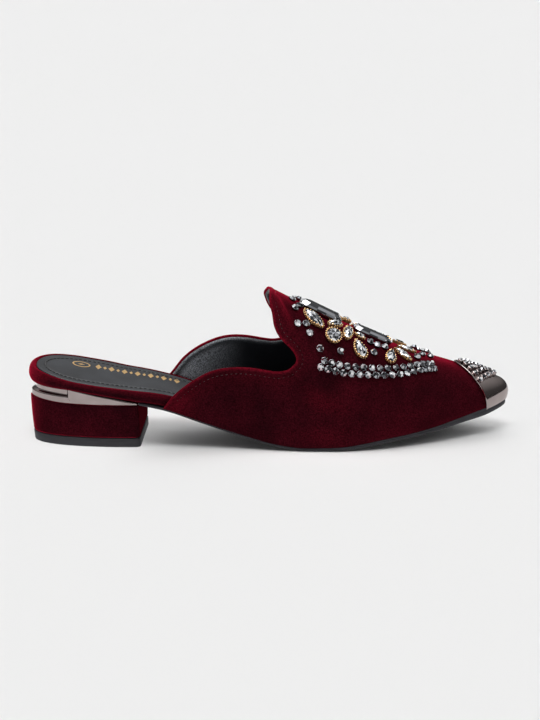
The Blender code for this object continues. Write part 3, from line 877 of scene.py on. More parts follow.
def tube(path, ups, radii, sides=6):
    """A round bar along a path, with a direction that is up at every point and a radius at every point."""
    tangents = np.gradient(path, axis=0)
    across = unit(np.cross(tangents, ups))
    up = unit(np.cross(across, tangents))
    turns = full_turn(sides)[:, None]
    radii = np.broadcast_to(np.asarray(radii, float), len(path))
    rings = []
    for place, a, b, radius in zip(path, across, up, radii):
        rings.append(place + radius * (np.cos(turns) * a + np.sin(turns) * b))
    return loft(rings, "flat")


def ball(middle, axes, rings=4, sides=8):
    """An ellipsoid from its middle and its three half axes."""
    points = [middle - axes[2]]
    for polar in np.arange(1, rings) * math.pi / rings:
        for turn in full_turn(sides):
            level = math.cos(turn) * axes[0] + math.sin(turn) * axes[1]
            points.append(middle + math.sin(polar) * level - math.cos(polar) * axes[2])
    points.append(middle + axes[2])
    last = len(points) - 1
    faces = []
    for i in range(sides):
        after = (i + 1) % sides
        faces.append((0, 1 + after, 1 + i))
        faces.append((last, last - sides + i, last - sides + after))
        for k in range(rings - 2):
            low = 1 + k * sides
            faces.append((low + i, low + after, low + sides + after, low + sides + i))
    return np.array(points), faces


def wall(grid, outer, inner):
    """A closed wall between two offsets of a wrapped grid, joined along its first row and the nose."""
    normals = grid_normals(grid)
    rows, columns = grid.shape[:2]
    half = columns // 2
    points = []
    index = np.zeros((2, rows, columns), int)
    for k, offsets in enumerate((outer, inner)):
        layer = grid + normals * offsets[..., None]
        for i in range(rows):
            for j in range(columns):
                if i == rows - 1 and j > half:
                    index[k, i, j] = index[k, i, columns - 1 - j]
                    continue
                index[k, i, j] = len(points)
                points.append(layer[i, j])
    faces = []
    for i in range(rows - 1):
        for j in range(columns - 1):
            for k, skin in enumerate(index):
                face = (skin[i, j], skin[i + 1, j], skin[i + 1, j + 1], skin[i, j + 1])
                faces.append(face if k else face[::-1])
        for j in (0, columns - 1):
            faces.append((index[0, i, j], index[0, i + 1, j], index[1, i + 1, j], index[1, i, j]))
    for j in range(columns - 1):
        faces.append((index[0, 0, j], index[1, 0, j], index[1, 0, j + 1], index[0, 0, j + 1]))
    return points, faces


# Materials


def feed(tree, node, **inputs):
    """Sets a node's inputs by name. Outputs of other nodes are linked, plain values are set."""
    for key, value in inputs.items():
        socket = node.inputs[key.replace("_", " ").title().replace("Ior", "IOR")]
        if isinstance(value, bpy.types.NodeSocket):
            tree.links.new(value, socket)
        else:
            socket.default_value = value
    return node


def add_node(tree, kind, **inputs):
    return feed(tree, tree.nodes.new(f"ShaderNode{kind}"), **inputs)


def grey(shade):
    return (shade, shade, shade)


def scaled(colour, share):
    return tuple(share * part for part in colour)


def principled(name, colour, roughness, **constants):
    """A new material, its node tree and its shader, with constants on the shader's own inputs."""
    made = bpy.data.materials.new(name)
    made.use_nodes = True
    made.diffuse_color = (*colour, 1.0)
    tree = made.node_tree
    shader = tree.nodes["Principled BSDF"]
    feed(tree, shader, base_color=(*colour, 1.0), roughness=roughness, **constants)
    return made, tree, shader


def texture(tree, kind, output, scale, stretch=(1.0, 1.0, 1.0), **settings):
    """An output of a texture in the shoe's own metres, stretched along its axes."""
    place = add_node(tree, "TexCoord")
    mapping = add_node(tree, "Mapping", vector=place.outputs["Object"], scale=stretch)
    made = add_node(tree, kind, vector=mapping.outputs["Vector"], scale=scale, **settings)
    return made.outputs[output]


def noise(tree, scale, *stretch, **settings):
    return texture(tree, "TexNoise", "Fac", scale, *stretch, **settings)


def stored_painted_light(tree):
    """The painted light that is stored with the mesh."""
    brushed = add_node(tree, "Attribute")
    brushed.attribute_name = "painted_light"
    return brushed.outputs["Fac"]


def bumps(tree, *layers):
    """The normal over layers of height, the first lowest (columns: output, strength, depth in metres)."""
    normal = None
    for output, strength, depth in layers:
        bump = add_node(tree, "Bump", height=output, strength=strength, distance=depth)
        if normal is not None:
            feed(tree, bump, normal=normal)
        normal = bump.outputs["Normal"]
    return normal


def colour_from(tree, output, *stops):
    """A colour ramp over an output (columns of stops: place, colour)."""
    made = add_node(tree, "ValToRGB", fac=output)
    elements = made.color_ramp.elements
    elements.remove(elements[0])
    elements[0].position = stops[0][0]
    elements[0].color = (*stops[0][1], 1.0)
    for place, colour in stops[1:]:
        elements.new(place).color = (*colour, 1.0)
    return made.outputs["Color"]


def mixed(tree, kind, first, second):
    """Two colour outputs added or multiplied."""
    mix = tree.nodes.new("ShaderNodeMix")
    mix.data_type = "RGBA"
    mix.blend_type = kind
    mix.inputs[0].default_value = 1.0
    tree.links.new(first, mix.inputs[6])
    tree.links.new(second, mix.inputs[7])
    return mix.outputs[2]


def between(tree, output, low, high):
    """A value between two bounds, by an output from 0 to 1."""
    return add_node(tree, "MapRange", value=output, to_min=low, to_max=high).outputs["Result"]


def make_velvet(name, sheen):
    """Burgundy velvet: a dark ground, a red sheen at grazing angles, and painted sheen added where the
    stored value is raised.
    """
    made, tree, shader = principled(
        name,
        (0.02, 0.0, 0.002),
        0.95,
        specular_ior_level=0.0,
        sheen_weight=sheen,
        sheen_roughness=0.36,
        sheen_tint=(0.78, 0.020, 0.064, 1.0),
    )
    patches = noise(tree, 42.0, detail=3.0, roughness=0.55)
    pile_and_painted_light = noise(tree, 1300.0, detail=3.0, roughness=0.7)
    strokes = noise(tree, 420.0, (1.0, 1.0, 0.45), detail=3.0, roughness=0.6)
    broad = colour_from(tree, patches, (0.30, (0.010, 0.0020, 0.0034)), (0.72, (0.033, 0.0030, 0.0060)))
    # Painted sheen: bright red added to the colour where the stored value is raised
    lift = colour_from(tree, stored_painted_light(tree), (0.0, grey(0.0)), (1.0, (0.235, 0.004, 0.016)))
    speckle = colour_from(tree, pile_and_painted_light, (0.32, grey(0.35)), (0.68, (1.75, 1.6, 1.6)))
    colour = mixed(tree, "MULTIPLY", mixed(tree, "ADD", broad, lift), speckle)
    normal = bumps(tree, (patches, 0.25, 0.0012), (strokes, 0.22, 0.0004), (pile_and_painted_light, 0.5, 0.00022))
    feed(tree, shader, base_color=colour, normal=normal)
    return made


def make_leather(name, colour, rough_low, rough_high, grain_scale, depth, painted_gloss=None):
    """Grained leather: small pebbles, fine pores, a dull gloss and, if given, a pale colour for painted
    gloss where the stored value is raised.
    """
    made, tree, shader = principled(name, colour, rough_high, specular_ior_level=0.5)
    pebbles = texture(tree, "TexVoronoi", "Distance", grain_scale)
    pores = noise(tree, grain_scale * 2.5, detail=4.0)
    wear = noise(tree, 60.0, detail=3.0)
    ground = colour_from(tree, wear, (0.35, scaled(colour, 0.75)), (0.68, scaled(colour, 1.35)))
    if painted_gloss is not None:
        # Painted gloss: the pale colour added where the stored value is raised, broken up by the pores
        pale = colour_from(tree, stored_painted_light(tree), (0.0, grey(0.0)), (1.0, painted_gloss))
        grain = colour_from(tree, pores, (0.40, grey(0.3)), (0.66, grey(1.8)))
        ground = mixed(tree, "ADD", ground, mixed(tree, "MULTIPLY", pale, grain))
    gloss = between(tree, pores, rough_low, rough_high)
    normal = bumps(tree, (wear, 0.3, 0.0008), (pebbles, 0.45, depth), (pores, 0.3, depth))
    feed(tree, shader, base_color=ground, roughness=gloss, normal=normal)
    return made


def make_rubber():
    made, tree, shader = principled("black_rubber", (0.026, 0.025, 0.030), 0.55, specular_ior_level=0.4)
    grain = noise(tree, 1800.0, detail=3.0)
    scuffs = noise(tree, 120.0, (1.0, 1.0, 4.0), detail=4.0)
    worn = colour_from(tree, scuffs, (0.35, (0.014, 0.0136, 0.0166)), (0.75, (0.027, 0.0262, 0.0312)))
    gloss = between(tree, scuffs, 0.45, 0.65)
    feed(tree, shader, base_color=worn, roughness=gloss, normal=bumps(tree, (grain, 0.25, 0.0002)))
    return made


def make_metal(name, colour, rough_low, rough_high, ripple=0.05, shine=1.0):
    """Plated metal: faint waves and fine hairline marks in its polish."""
    made, tree, shader = principled(name, colour, rough_low, metallic=shine)
    waves = noise(tree, 90.0, detail=2.0)
    marks = noise(tree, 900.0, (0.25, 1.0, 1.0), detail=3.0)
    plating = colour_from(tree, waves, (0.35, scaled(colour, 0.9)), (0.7, scaled(colour, 1.08)))
    gloss = between(tree, marks, rough_low, rough_high)
    feed(tree, shader, base_color=plating, roughness=gloss, normal=bumps(tree, (waves, ripple, 0.0006)))
    return made


def make_thread(name, colour):
    made, tree, shader = principled(name, colour, 0.7, sheen_weight=0.2)
    twist = noise(tree, 2400.0, detail=2.0)
    strands = colour_from(tree, twist, (0.3, scaled(colour, 0.7)), (0.65, colour))
    feed(tree, shader, base_color=strands, normal=bumps(tree, (twist, 0.3, 0.0001)))
    return made


# The velvet and a copy with little sheen, which is painted shade on the faces that take it
VELVET_AND_SHADED_COPY = [make_velvet("burgundy_velvet", 1.0), make_velvet("burgundy_velvet_painted_shade", 0.12)]
LINING = make_leather(
    "lining_leather", (0.008, 0.0088, 0.011), 0.28, 0.44, 700.0, 0.0003, painted_gloss=(0.40, 0.425, 0.465)
)
SOCK_LEATHER = make_leather("sock_leather", (0.024, 0.0258, 0.0294), 0.42, 0.60, 1400.0, 0.00014)
RUBBER = make_rubber()
GUNMETAL = make_metal("gunmetal", (0.37, 0.315, 0.305), 0.05, 0.12)
GOLD = make_metal("gilt_wire", (0.95, 0.66, 0.33), 0.10, 0.2)
# A dark copy of the gilt for the cups of the fancy stones: painted shade in the gaps round them
GILT_SHADED_CUP = make_metal("gilt_cup_painted_shade", (0.26, 0.12, 0.05), 0.25, 0.4)
SILVER = make_metal("dark_silver", (0.24, 0.24, 0.255), 0.12, 0.24)
# Light, grey and dark copies of one mirror finish, given to facets in a fixed pattern: painted glints and
# painted reflection
PAINTED_FACET_SHADES = [
    make_metal("facet_painted_highlight", (0.92, 0.93, 0.95), 0.03, 0.06, ripple=0.0, shine=0.45),
    make_metal("facet_grey", (0.42, 0.43, 0.46), 0.02, 0.05, ripple=0.0),
    make_metal("facet_painted_shade", (0.085, 0.088, 0.096), 0.02, 0.05, ripple=0.0),
]
FLAT_LOOKS = {made.name for made in PAINTED_FACET_SHADES}
PALE_THREAD = make_thread("pale_thread", (0.030, 0.005, 0.007))
BLACK_THREAD = make_thread("black_thread", (0.004, 0.004, 0.0045))
GOLD_FOIL = make_metal("gold_foil", (0.66, 0.43, 0.19), 0.35, 0.5, shine=0.3)


# Upper and toe cap


def upper_painted_light(places):
    """Painted sheen on the upper: its edges, ridge, tongue, fold crests, a band below the edge, and its
    back, front and ball.
    """
    edge = from_topline(places)
    x, y, z = places.T
    lightened = {
        "outer_edge": bell(edge, 1.1),
        "inner_edge": np.where(y > 6.0, bell(edge, 1.5), 0.0),
        "ridge": bell(y - UPPER["ridge_y"](x), 9.0) * ramp(z, 30.0, 8.0),
        "tongue": ramp(x, 156.0, -16.0) * ramp(z, 52.0, 8.0),
        "folds": np.clip(crease_offsets(places[None])[0], 0, 1),
        "heel_end": ramp(x, 96.0, -16.0) * ramp(edge, 0.5, 3.0),
        "front": ramp(x, 140.0, 50.0),
        "below_edge": bell(edge - 5.0, 5.0),
        "ball": bell(x - 160.0, 13.0) * bell(z - 9.0, 6.0),
    }
    return sum(UPPER_PAINTED_LIGHT[name] * place for name, place in lightened.items())


def lining_painted_light(places):
    """Painted gloss on the lining: along the roll inside its edge, and towards its back."""
    edge = from_topline(places)
    x = places[:, 0]
    roll = bell(edge - 2.6, 0.9) * ramp(x, 150.0, -40.0)
    behind = ramp(x, 122.0, -40.0) ** 1.5 * ramp(edge, 3.5, 3.0)
    return 0.5 * roll + 0.9 * behind


def make_upper():
    """The velvet wall with its turned edge and creases, the lining inside it and the stitches."""
    grid = wrap_grid(topline_start, rows=92, round_rows=12, angle_steps=84, crowding=1.7)
    edge = from_topline(grid)
    outer = -rounded(edge, EDGE_ROUND, VELVET_THICK / 2)
    outer += EDGE_PILLOW * bell(edge - PILLOW_AT, PILLOW_WIDE) * ramp(edge, 0, PILLOW_START)
    outer -= STITCH_DEEP * bell(edge - STITCH_INSET, STITCH_GROOVE)
    outer += crease_offsets(grid) * ramp(edge, 0, CREASE_START)
    inner = -VELVET_THICK + rounded(edge, INNER_ROUND, VELVET_THICK / 2)
    velvet = Shape().add(*wall(grid, outer, inner))
    add_piece("upper_velvet", velvet, VELVET_AND_SHADED_COPY[:1], ["upper"], painted_light=upper_painted_light)

    grid = wrap_grid(edge_start(LINING_INSET), rows=60, round_rows=8, angle_steps=60, crowding=1.7)
    edge = from_topline(grid)
    depth = edge - LINING_INSET
    outer = -VELVET_THICK - LINING_CLEAR - rounded(depth, LINING_ROUND, LINING_DROP)
    inner = -WALL + rounded(depth, INNER_ROUND, LINING_DROP)
    inner -= LINING_ROLL * bell(edge - LINING_ROLL_AT, LINING_ROLL_WIDE)
    inner += LINING_GROOVE * bell(edge - STITCH_INSET, LINING_GROOVE_WIDE)
    lining = Shape().add(*wall(grid, outer, inner))
    add_piece("upper_lining", lining, [LINING], painted_light=lining_painted_light)
    make_edge_stitches()


def edge_start(inset):
    """For each side and angle, the place along the shoe that lies this far inside the topline."""
    reach = np.linspace(0, 1, 60) ** 1.5 * 16.0

    def start(side, angle):
        x = TOPLINES[side](angle) + reach
        distance = from_topline(upper_point(x, angle, side))
        return np.interp(inset, np.maximum.accumulate(distance), x)

    return start


def add_stitches(shape, line, normals, spacing, long, radius):
    """Short rounded stitches along a line, each sunk at both ends."""
    step = 0.25
    even = run_along(line, step)
    normals = on_line(normals, even)
    line = on_line(line, even)
    along, sink, thick = np.array(STITCH_ROWS).T
    for middle in run_along(line, spacing):
        places = middle + long / 2 / step * along
        up = unit(on_line(normals, places))
        path = on_line(line, places) + up * (radius * sink)[:, None]
        shape.add(*tube(path, up, radius * thick))


def make_edge_stitches():
    start = edge_start(STITCH_INSET)
    line = []
    normals = []
    for side, angle in over_the_ridge(climb_angles(np.linspace(0.03, 1, 150))):
        x = float(start(side, angle))
        normal = upper_normal(x, min(angle, NEAR_RIDGE), side)
        line.append(upper_point(x, angle, side) - normal * STITCH_DEEP)
        normals.append(normal)
    shape = Shape()
    add_stitches(shape, np.array(line), np.array(normals), STITCH_EVERY, STITCH_LONG, STITCH_RADIUS)
    add_piece("upper_stitches", shape, [PALE_THREAD])


def make_toe_cap():
    """The polished cap with a thin raised bead along its edge."""
    grid = wrap_grid(cap_start, rows=22, round_rows=16, angle_steps=48, crowding=1.3)
    edge, _ = distance_to(grid, edge_points(cap_start, climb_angles(np.linspace(0, 1, 800))))
    outer = GAP + CAP_WALL - rounded(edge, CAP_EDGE_OUT, CAP_EDGE_DROP)
    inner = GAP + rounded(edge, CAP_EDGE_IN, CAP_EDGE_DROP)
    shape = Shape().add(*wall(grid, outer, inner))
    ups = grid_normals(grid)[0]
    shape.add(*tube(grid[0] + ups * (GAP + CAP_WALL), ups, CAP_BEAD, 8))
    add_piece("toe_cap_polished", shape, [GUNMETAL], ["toe_cap"])


# Sole, footbed and sock


def sole_ring(inset, share):
    """The sole's outline pulled in by an inset, at a share of its thickness."""
    front = SOLE_FRONT - SOLE_TOE_DRAW * inset
    turn = np.linspace(0, QUARTER, 20)[1:]
    rings = []
    for side, sign in SIDES.items():
        start = SOLE_BACK + HEEL_SKEW * sign * abs(SOLE_ROWS[0][1])
        straight = np.linspace(start, front - TOE_ROUND, 110)
        x = np.concatenate([straight, front - TOE_ROUND + TOE_ROUND * np.sin(turn)])
        axis = UPPER["ridge_y"](x)
        edge = SOLE[side](x) - sign * inset
        y = axis + (edge - axis) * np.maximum(toe_closing(x, front, TOE_ROUND), 0.02)
        rings.append(np.stack([x, y, SOLE["ground"](x) + share * SOLE["thick"](x)], -1))
    return both_sides(rings)


def make_outsole():
    """The thin rubber sole with a rounded lower edge and a fine groove round its side."""
    rings = [sole_ring(inset, share) for inset, share in SOLE_PROFILE]
    add_piece("outsole_rubber", Shape().add(*loft(rings)), [RUBBER], ["outsole"], RUBBER_SHARP)


def bed_edge(x, side):
    """The footbed's plan edge: the heel seat behind, the room inside the upper's wall in front."""
    start, end = SEAT_MERGE
    inside = SOLE[side](x) + SIDES[side] * (UPPER["overhang"](x) - WALL - BED_CLEAR)
    share = eased(ramp(x, start, end - start))
    return SEAT[side](x) * (1 - share) + inside * share


def seat_roll(x, y):
    """How much the seat rises from its outer towards its inner edge."""
    lateral, medial = (SEAT[side](np.minimum(x, SEAT_ROWS[-1][0])) for side in SIDES)
    return SOCK["roll"](x) * (y - lateral) / (medial - lateral)


def bed_line(inset):
    """Plan line of the footbed at an inset, round at the heel: x, then y of each side."""
    back_turn = np.linspace(0, QUARTER, 44)
    radius = SEAT_ROUND - inset
    front = BED_FRONT - BED_TOE_DRAW * inset
    toe_radius = max(TOE_ROUND - inset, 3.0)
    toe_turn = np.linspace(0, QUARTER, 12)[1:]
    x = np.concatenate([
        inset + radius * (1 - np.cos(back_turn)),
        np.linspace(SEAT_ROUND, front - toe_radius, 100)[1:],
        front - toe_radius + toe_radius * np.sin(toe_turn),
    ])
    closing = np.ones(len(x))
    closing[: len(back_turn)] = np.sin(back_turn) ** SEAT_POWER
    closing *= np.maximum(toe_closing(x, front, toe_radius), 0.01)
    axis = UPPER["ridge_y"](x) * ramp(x, SEAT_ROUND, BED_TURN)
    sides = []
    for side, sign in SIDES.items():
        half = np.maximum(sign * (bed_edge(x, side) - axis) - inset, 0.3)
        sides.append(axis + sign * half * closing)
    return x, sides


def bed_ring(inset, height, rolled=1.0):
    x, sides = bed_line(inset)
    return both_sides([np.stack([x, y, height(x) + rolled * seat_roll(x, y)], -1) for y in sides])


def rim_painted_light(places):
    """The rim's painted light: painted highlight along its top and round its back, painted shade along its
    lower edge.
    """
    x, _, z = places.T
    low = bed_under(x)
    share = (z - low) / (SOCK["top"](x) - low)
    return 0.10 * ramp(share, 0.55, 0.4) + 0.20 * ramp(x, 14.0, -14.0) - 0.7 * ramp(share, 0.3, -0.2)


def make_footbed():
    """The velvet-wrapped board, with a soft rolled rim round the sock."""
    inset_curve, share_curve = path_curves(RIM_ROWS)
    rings = []
    for place in np.linspace(0, 1, 26):
        share = float(share_curve(place))

        def height(x, share=share):
            return bed_under(x) * (1 - share) + (SOCK["top"](x) - RIM_DROP) * share

        rings.append(bed_ring(float(inset_curve(place)), height, share))
    shape = Shape().add(*loft(rings))
    add_piece("footbed_velvet", shape, VELVET_AND_SHADED_COPY, ["footbed"], SOFT_SHARP, rim_painted_light)


def make_insole():
    """The leather sock with a rounded edge and a sewn groove, its stitches and a gold ornament."""
    rows = [(SOCK_INSET + inset, height) for inset, height in SOCK_EDGE]
    rows += [(SOCK_STITCH_INSET + inset, height) for inset, height in SOCK_GROOVE]
    rings = [bed_ring(inset, lambda x, height=height: SOCK["top"](x) + height) for inset, height in rows]
    shape = Shape().add(*loft(rings))
    add_piece("insole_leather", shape, [SOCK_LEATHER], ["insole"], SOFT_SHARP)

    ring = bed_ring(SOCK_STITCH_INSET, lambda x: SOCK["top"](x) - SOCK_STITCH_SUNK)
    line = ring[ring[:, 0] < SOCK_STITCH_END]
    half = len(line) // 2
    line = np.concatenate([line[:half][::-1], line[half:][::-1]])
    ups = np.tile([0.0, 0.0, 1.0], (len(line), 1))
    stitches = Shape()
    add_stitches(stitches, line, ups, spacing=2.6, long=2.2, radius=0.36)
    add_piece("insole_stitches", stitches, [BLACK_THREAD])
    make_ornament()


def sock_point(x, y, height):
    x = np.asarray(x, float)
    y = np.asarray(y, float)
    return np.stack([x, y, SOCK["top"](x) + seat_roll(x, y) + SOCK_PILLOW + height], -1)


def flat_mark(x, y, half_long, half_wide):
    """A thin foil lozenge on the sock."""
    along = x + half_long * np.array([1.0, 0.0, -1.0, 0.0])
    across = y + half_wide * np.array([0.0, 1.0, 0.0, -1.0])
    return loft([sock_point(along, across, height) for height in ORNAMENT_LEVELS], "flat")


def make_ornament():
    """Gold foil on the sock: an oval ring round a lozenge, and a row of large and small lozenges."""
    shape = Shape()
    middle_x, middle_y, half_long, half_wide = ORNAMENT_RING
    low, high = ORNAMENT_LEVELS
    turns = full_turn(48)
    rim = ((1, 1, low), (1, 1, high), (*ORNAMENT_HOLE, high), (*ORNAMENT_HOLE, low), (1, 1, low))
    rings = []
    for long, wide, height in rim:
        x = middle_x + half_long * long * np.cos(turns)
        y = middle_y + half_wide * wide * np.sin(turns)
        rings.append(sock_point(x, y, height))
    shape.add(*loft(rings, "open"))
    shape.add(*flat_mark(middle_x, middle_y, *ORNAMENT_EYE))
    x_start, y_start, x_end, y_end = ORNAMENT_ROW
    for k, share in enumerate(np.linspace(0, 1, ORNAMENT_COUNT)):
        size = ORNAMENT_SIZES[k % 2]
        x = x_start + (x_end - x_start) * share
        y = y_start + (y_end - y_start) * share
        shape.add(*flat_mark(x, y, size, ORNAMENT_STRETCH * size))
    add_piece("insole_ornament", shape, [GOLD_FOIL])


# Heel


def heel_ring(storey, height, inset=0.0, share=0.0, other=None):
    """One level of the heel. With another storey, it lies between the two by the share."""
    row = np.array(HEEL_ROWS[storey])
    if other is not None:
        row = row * (1 - share) + np.array(HEEL_ROWS[other]) * share
    back, front, half_width, power = row + np.array([inset, -inset, -inset, 0.0])
    turn = np.linspace(0, QUARTER, 60)
    corner = np.linspace(0, QUARTER, 9)[1:]
    x = front - HEEL_CORNER - (front - HEEL_CORNER - back) * np.cos(turn)
    x = np.append(x, front - HEEL_CORNER + HEEL_CORNER * np.sin(corner))
    round_corner = half_width - HEEL_CORNER + HEEL_CORNER * np.cos(corner)
    half = np.append(half_width * np.sin(turn) ** power, round_corner)
    inward = np.linspace(1, 0.04, 9)[1:]
    x = np.append(x, np.full(len(inward), front))
    half = np.append(half, half[-1] * inward)
    rings = []
    for sign in SIDES.values():
        y = HEEL_AXIS_Y + sign * half
        skewed = x + HEEL_SKEW * (y - HEEL_AXIS_Y) * (x - back) / (front - back)
        rings.append(np.stack([skewed, y, np.broadcast_to(height(skewed), skewed.shape)], -1))
    return both_sides(rings)


def block_top(x):
    """Top of the heel block, rising a little towards the back."""
    return BLOCK_TOP + BLOCK_RISE * ramp(x, BLOCK_RISE_END, -BLOCK_RISE_END) ** 2


def heel_painted_light(places):
    """The heel's painted light: painted shade on its breast, and a little painted sheen round its back."""
    x, y, _ = places.T
    breast = x - HEEL_SKEW * (y - HEEL_AXIS_Y)
    return 0.09 * ramp(x, 8.0, -8.0) - ramp(breast, 61.0, 1.2)


def make_heel():
    tip = []
    for storey, inset, height in TIP_PROFILE:
        tip.append(heel_ring(storey, lambda x, height=height: np.full(np.shape(x), height), inset))
    add_piece("heel_tip_rubber", Shape().add(*loft(tip)), [RUBBER], ["heel_tip"], RUBBER_SHARP)

    foot = TIP_HEIGHT + GAP
    block = []
    for share in np.linspace(0, 1, 22):
        ends = (BLOCK_TOP - foot) * min(share, 1 - share)
        inset = float(rounded(ends, BLOCK_ROUND, BLOCK_DROP)) - BLOCK_BELLY * math.sin(math.pi * share)

        def height(x, share=share):
            return foot * (1 - share) + block_top(x) * share

        block.append(heel_ring("block_foot", height, inset, share, "block_head"))
    shape = Shape().add(*loft(block))
    add_piece("heel_block_velvet", shape, VELVET_AND_SHADED_COPY, ["heel_block"], SOFT_SHARP, heel_painted_light)
    make_band()


def band_side(x):
    """Half width of the band's foot at a place along the shoe."""
    back, front, half_width, _ = HEEL_ROWS["band_foot"]
    t = np.clip((front - HEEL_CORNER - x) / (front - HEEL_CORNER - back), 0, 1)
    return half_width * np.sqrt(1 - t * t)


def make_band():
    """The polished wedge, swept in like a wave below the rim, with a plate standing proud on each side."""
    rings = []
    for share in np.linspace(0, 1, 24):

        def height(x, share=share):
            return (block_top(x) + GAP) * (1 - share) + (bed_under(x) - GAP) * share

        sweep = eased(ramp(share, *BAND_SWEEP))
        rings.append(heel_ring("band_foot", height, 0.0, sweep, "band_head"))
    shape = Shape().add(*loft(rings))
    for sign in SIDES.values():
        shape.add(*band_plate(sign))
    add_piece("heel_band_polished", shape, [GUNMETAL], ["heel_band"])


def band_plate(sign):
    lower, upper = (smooth_curve(column(PLATE_ROWS, 0), column(PLATE_ROWS, k)) for k in (1, 2))
    first, last = PLATE_ROWS[0][0], PLATE_ROWS[-1][0]
    profile = PLATE_PROFILE + tuple((1 - place, proud) for place, proud in PLATE_PROFILE[-2::-1])
    place, proud = np.array(profile).T
    rings = []
    for x in first + (last - first) * np.linspace(0, 1, 60):
        ends = rounded(min(x - first, last - x), PLATE_ROUND, PLATE_DROP)
        y = HEEL_AXIS_Y + sign * (band_side(x) + PLATE_PROUD * proud - ends * (proud > 0))
        z = lower(x) * (1 - place) + upper(x) * place
        rings.append(np.stack([x + HEEL_SKEW * (y - HEEL_AXIS_Y) * x / last, y, z], -1))
    return loft(rings, "flat")


# Jewels


def surface_frame(x, fall, side, turn):
    """Middle, long, wide and out directions of a piece on the upper's surface."""
    angle = section_angle(x, fall, side)
    middle, out = place_on_upper(x, fall, side)
    if fall == 0:
        out = unit(out + upper_normal(float(x), NEAR_RIDGE, "medial"))
    forward = upper_point(float(x) + 0.5, angle, side) - upper_point(float(x) - 0.5, angle, side)
    forward = unit(forward - out * (forward @ out))
    down = np.cross(out, forward) * SIDES[side]
    tilt = math.radians(turn)
    long = forward * math.cos(tilt) + down * math.sin(tilt)
    return middle, np.array([long, np.cross(out, long), out])


def cut_outline(cut, count):
    """Unit plan outline of a stone, as long and wide parts of its half sizes."""
    if cut == "baguette":
        corner = 0.72
        side = 0.45
        half = [(1, side), (corner, 1), (corner / 3, 1), (-corner / 3, 1), (-corner, 1), (-1, side)]
        return np.array(half + [(-a, -b) for a, b in half], float)
    turns = full_turn(count)
    long = np.cos(turns)
    wide = np.sin(turns)
    if cut == "marquise":
        wide = wide * np.abs(np.sin(turns)) ** MARQUISE_POINT
    if cut == "pear":
        wide = wide * (0.5 * (1 - long)) ** PEAR_POINT * PEAR_WIDE
    return np.stack([long, wide], -1)


def seat_height(middle, axes, half_long, half_wide, x):
    """How far the upper rises above the tangent plane under a stone."""
    reach = max(half_long, half_wide) + 2
    across = np.linspace(0.2, QUARTER, 40)
    lines = []
    for place in np.linspace(x - reach, x + reach, 25):
        lines += [upper_point(np.full(len(across), place), across, side) for side in SIDES]
    offset = np.concatenate(lines) - middle
    under = (np.abs(offset @ axes[0]) < half_long) & (np.abs(offset @ axes[1]) < half_wide)
    return float(np.max((offset @ axes[2])[under], initial=0.0))


class Seat:
    """Where a stone sits: a middle, its three directions, and its plan outline in millimetres."""

    def __init__(self, middle, axes, outline, half_long, half_wide):
        self.middle = middle
        self.axes = axes
        self.plan = outline * np.array([half_long, half_wide])

    def ring(self, share, height, turned=False):
        """The outline at a share of its size, at a height over the seat, or turned by half a step."""
        plan = self.plan
        if turned:
            plan = (plan + np.roll(plan, -1, 0)) / 2
        return self.at(*(plan * share).T, height)

    def inner(self, inset, height):
        """The outline pulled in by the same inset along and across."""
        half = np.abs(self.plan).max(axis=0)
        return self.at(*(self.plan * (1 - inset / half)).T, height)

    def at(self, long, wide, height):
        parts = np.stack(np.broadcast_arrays(long, wide, height), -1)
        return self.middle + parts @ self.axes


def facets(rings, tip):
    """Triangles between rings that are half a step apart in turn, closed by a point."""
    size = len(rings[0])
    faces = []
    for k in range(len(rings) - 1):
        low_ring = k * size
        high_ring = low_ring + size
        for i in range(size):
            after = (i + 1) % size
            low, high = low_ring + i, high_ring + i
            if k % 2 == 0:
                faces += [(low, low_ring + after, high), (low, high, high_ring + (i - 1) % size)]
            else:
                faces += [(low, high_ring + after, high), (low, low_ring + after, high_ring + after)]
    last = (len(rings) - 1) * size
    faces += [(last + i, last + (i + 1) % size, last + size) for i in range(size)]
    return np.concatenate([*rings, [tip]]), faces


def painted_facet_shades(count, seed):
    """A fixed play of painted highlight, grey and painted shade over the facets (the first three looks of a
    stone).
    """
    spread = np.abs(np.modf(np.sin(np.arange(count) * 12.99 + seed * 7.31) * 437.58)[0])
    return np.searchsorted(PAINTED_SHADE_SHARES, spread).tolist()


def add_gem(shape, seat, share, girdle, top, seed):
    """A cut stone: a crown of two rows of facets and a table split into facets round a low peak."""
    crown_mid = girdle + CROWN_RISE * (top - girdle)
    edge = seat.ring(share, girdle)
    middle = seat.ring(share * CROWN_SHARE, crown_mid, turned=True)
    table = seat.ring(share * TABLE_SHARE, top)
    points, faces = facets([edge, middle, table], seat.at(0.0, 0.0, top + PEAK))
    shape.add(points, faces, painted_facet_shades(len(faces), seed))


def add_small_gem(shape, seat, share, girdle, top, seed):
    """A small stone with one row of broad facets on its crown round a flat table."""
    edge = seat.ring(share, girdle)
    points, faces = loft([edge, seat.ring(share * SMALL_TABLE, top)], "open")
    faces.append(tuple(range(len(edge), 2 * len(edge))))
    shape.add(points, faces, painted_facet_shades(len(faces), seed))


def add_skirt(shape, seat, rows, look=SETTING):
    """A ring wall round a stone (columns of rows: share, height)."""
    rings = [seat.ring(share, height) for share, height in rows]
    shape.add(*loft(rings + [rings[0]], "open"), look)


def add_beads(shape, seat, share, height, radius, spacing):
    """A beaded wire along the outline of a stone."""
    corners = seat.ring(share, height)
    closed = np.concatenate([corners, corners[:1]])
    for place in run_along(closed, spacing):
        shape.add(*ball(on_line(closed, place), seat.axes * radius, 4, 7), SETTING)


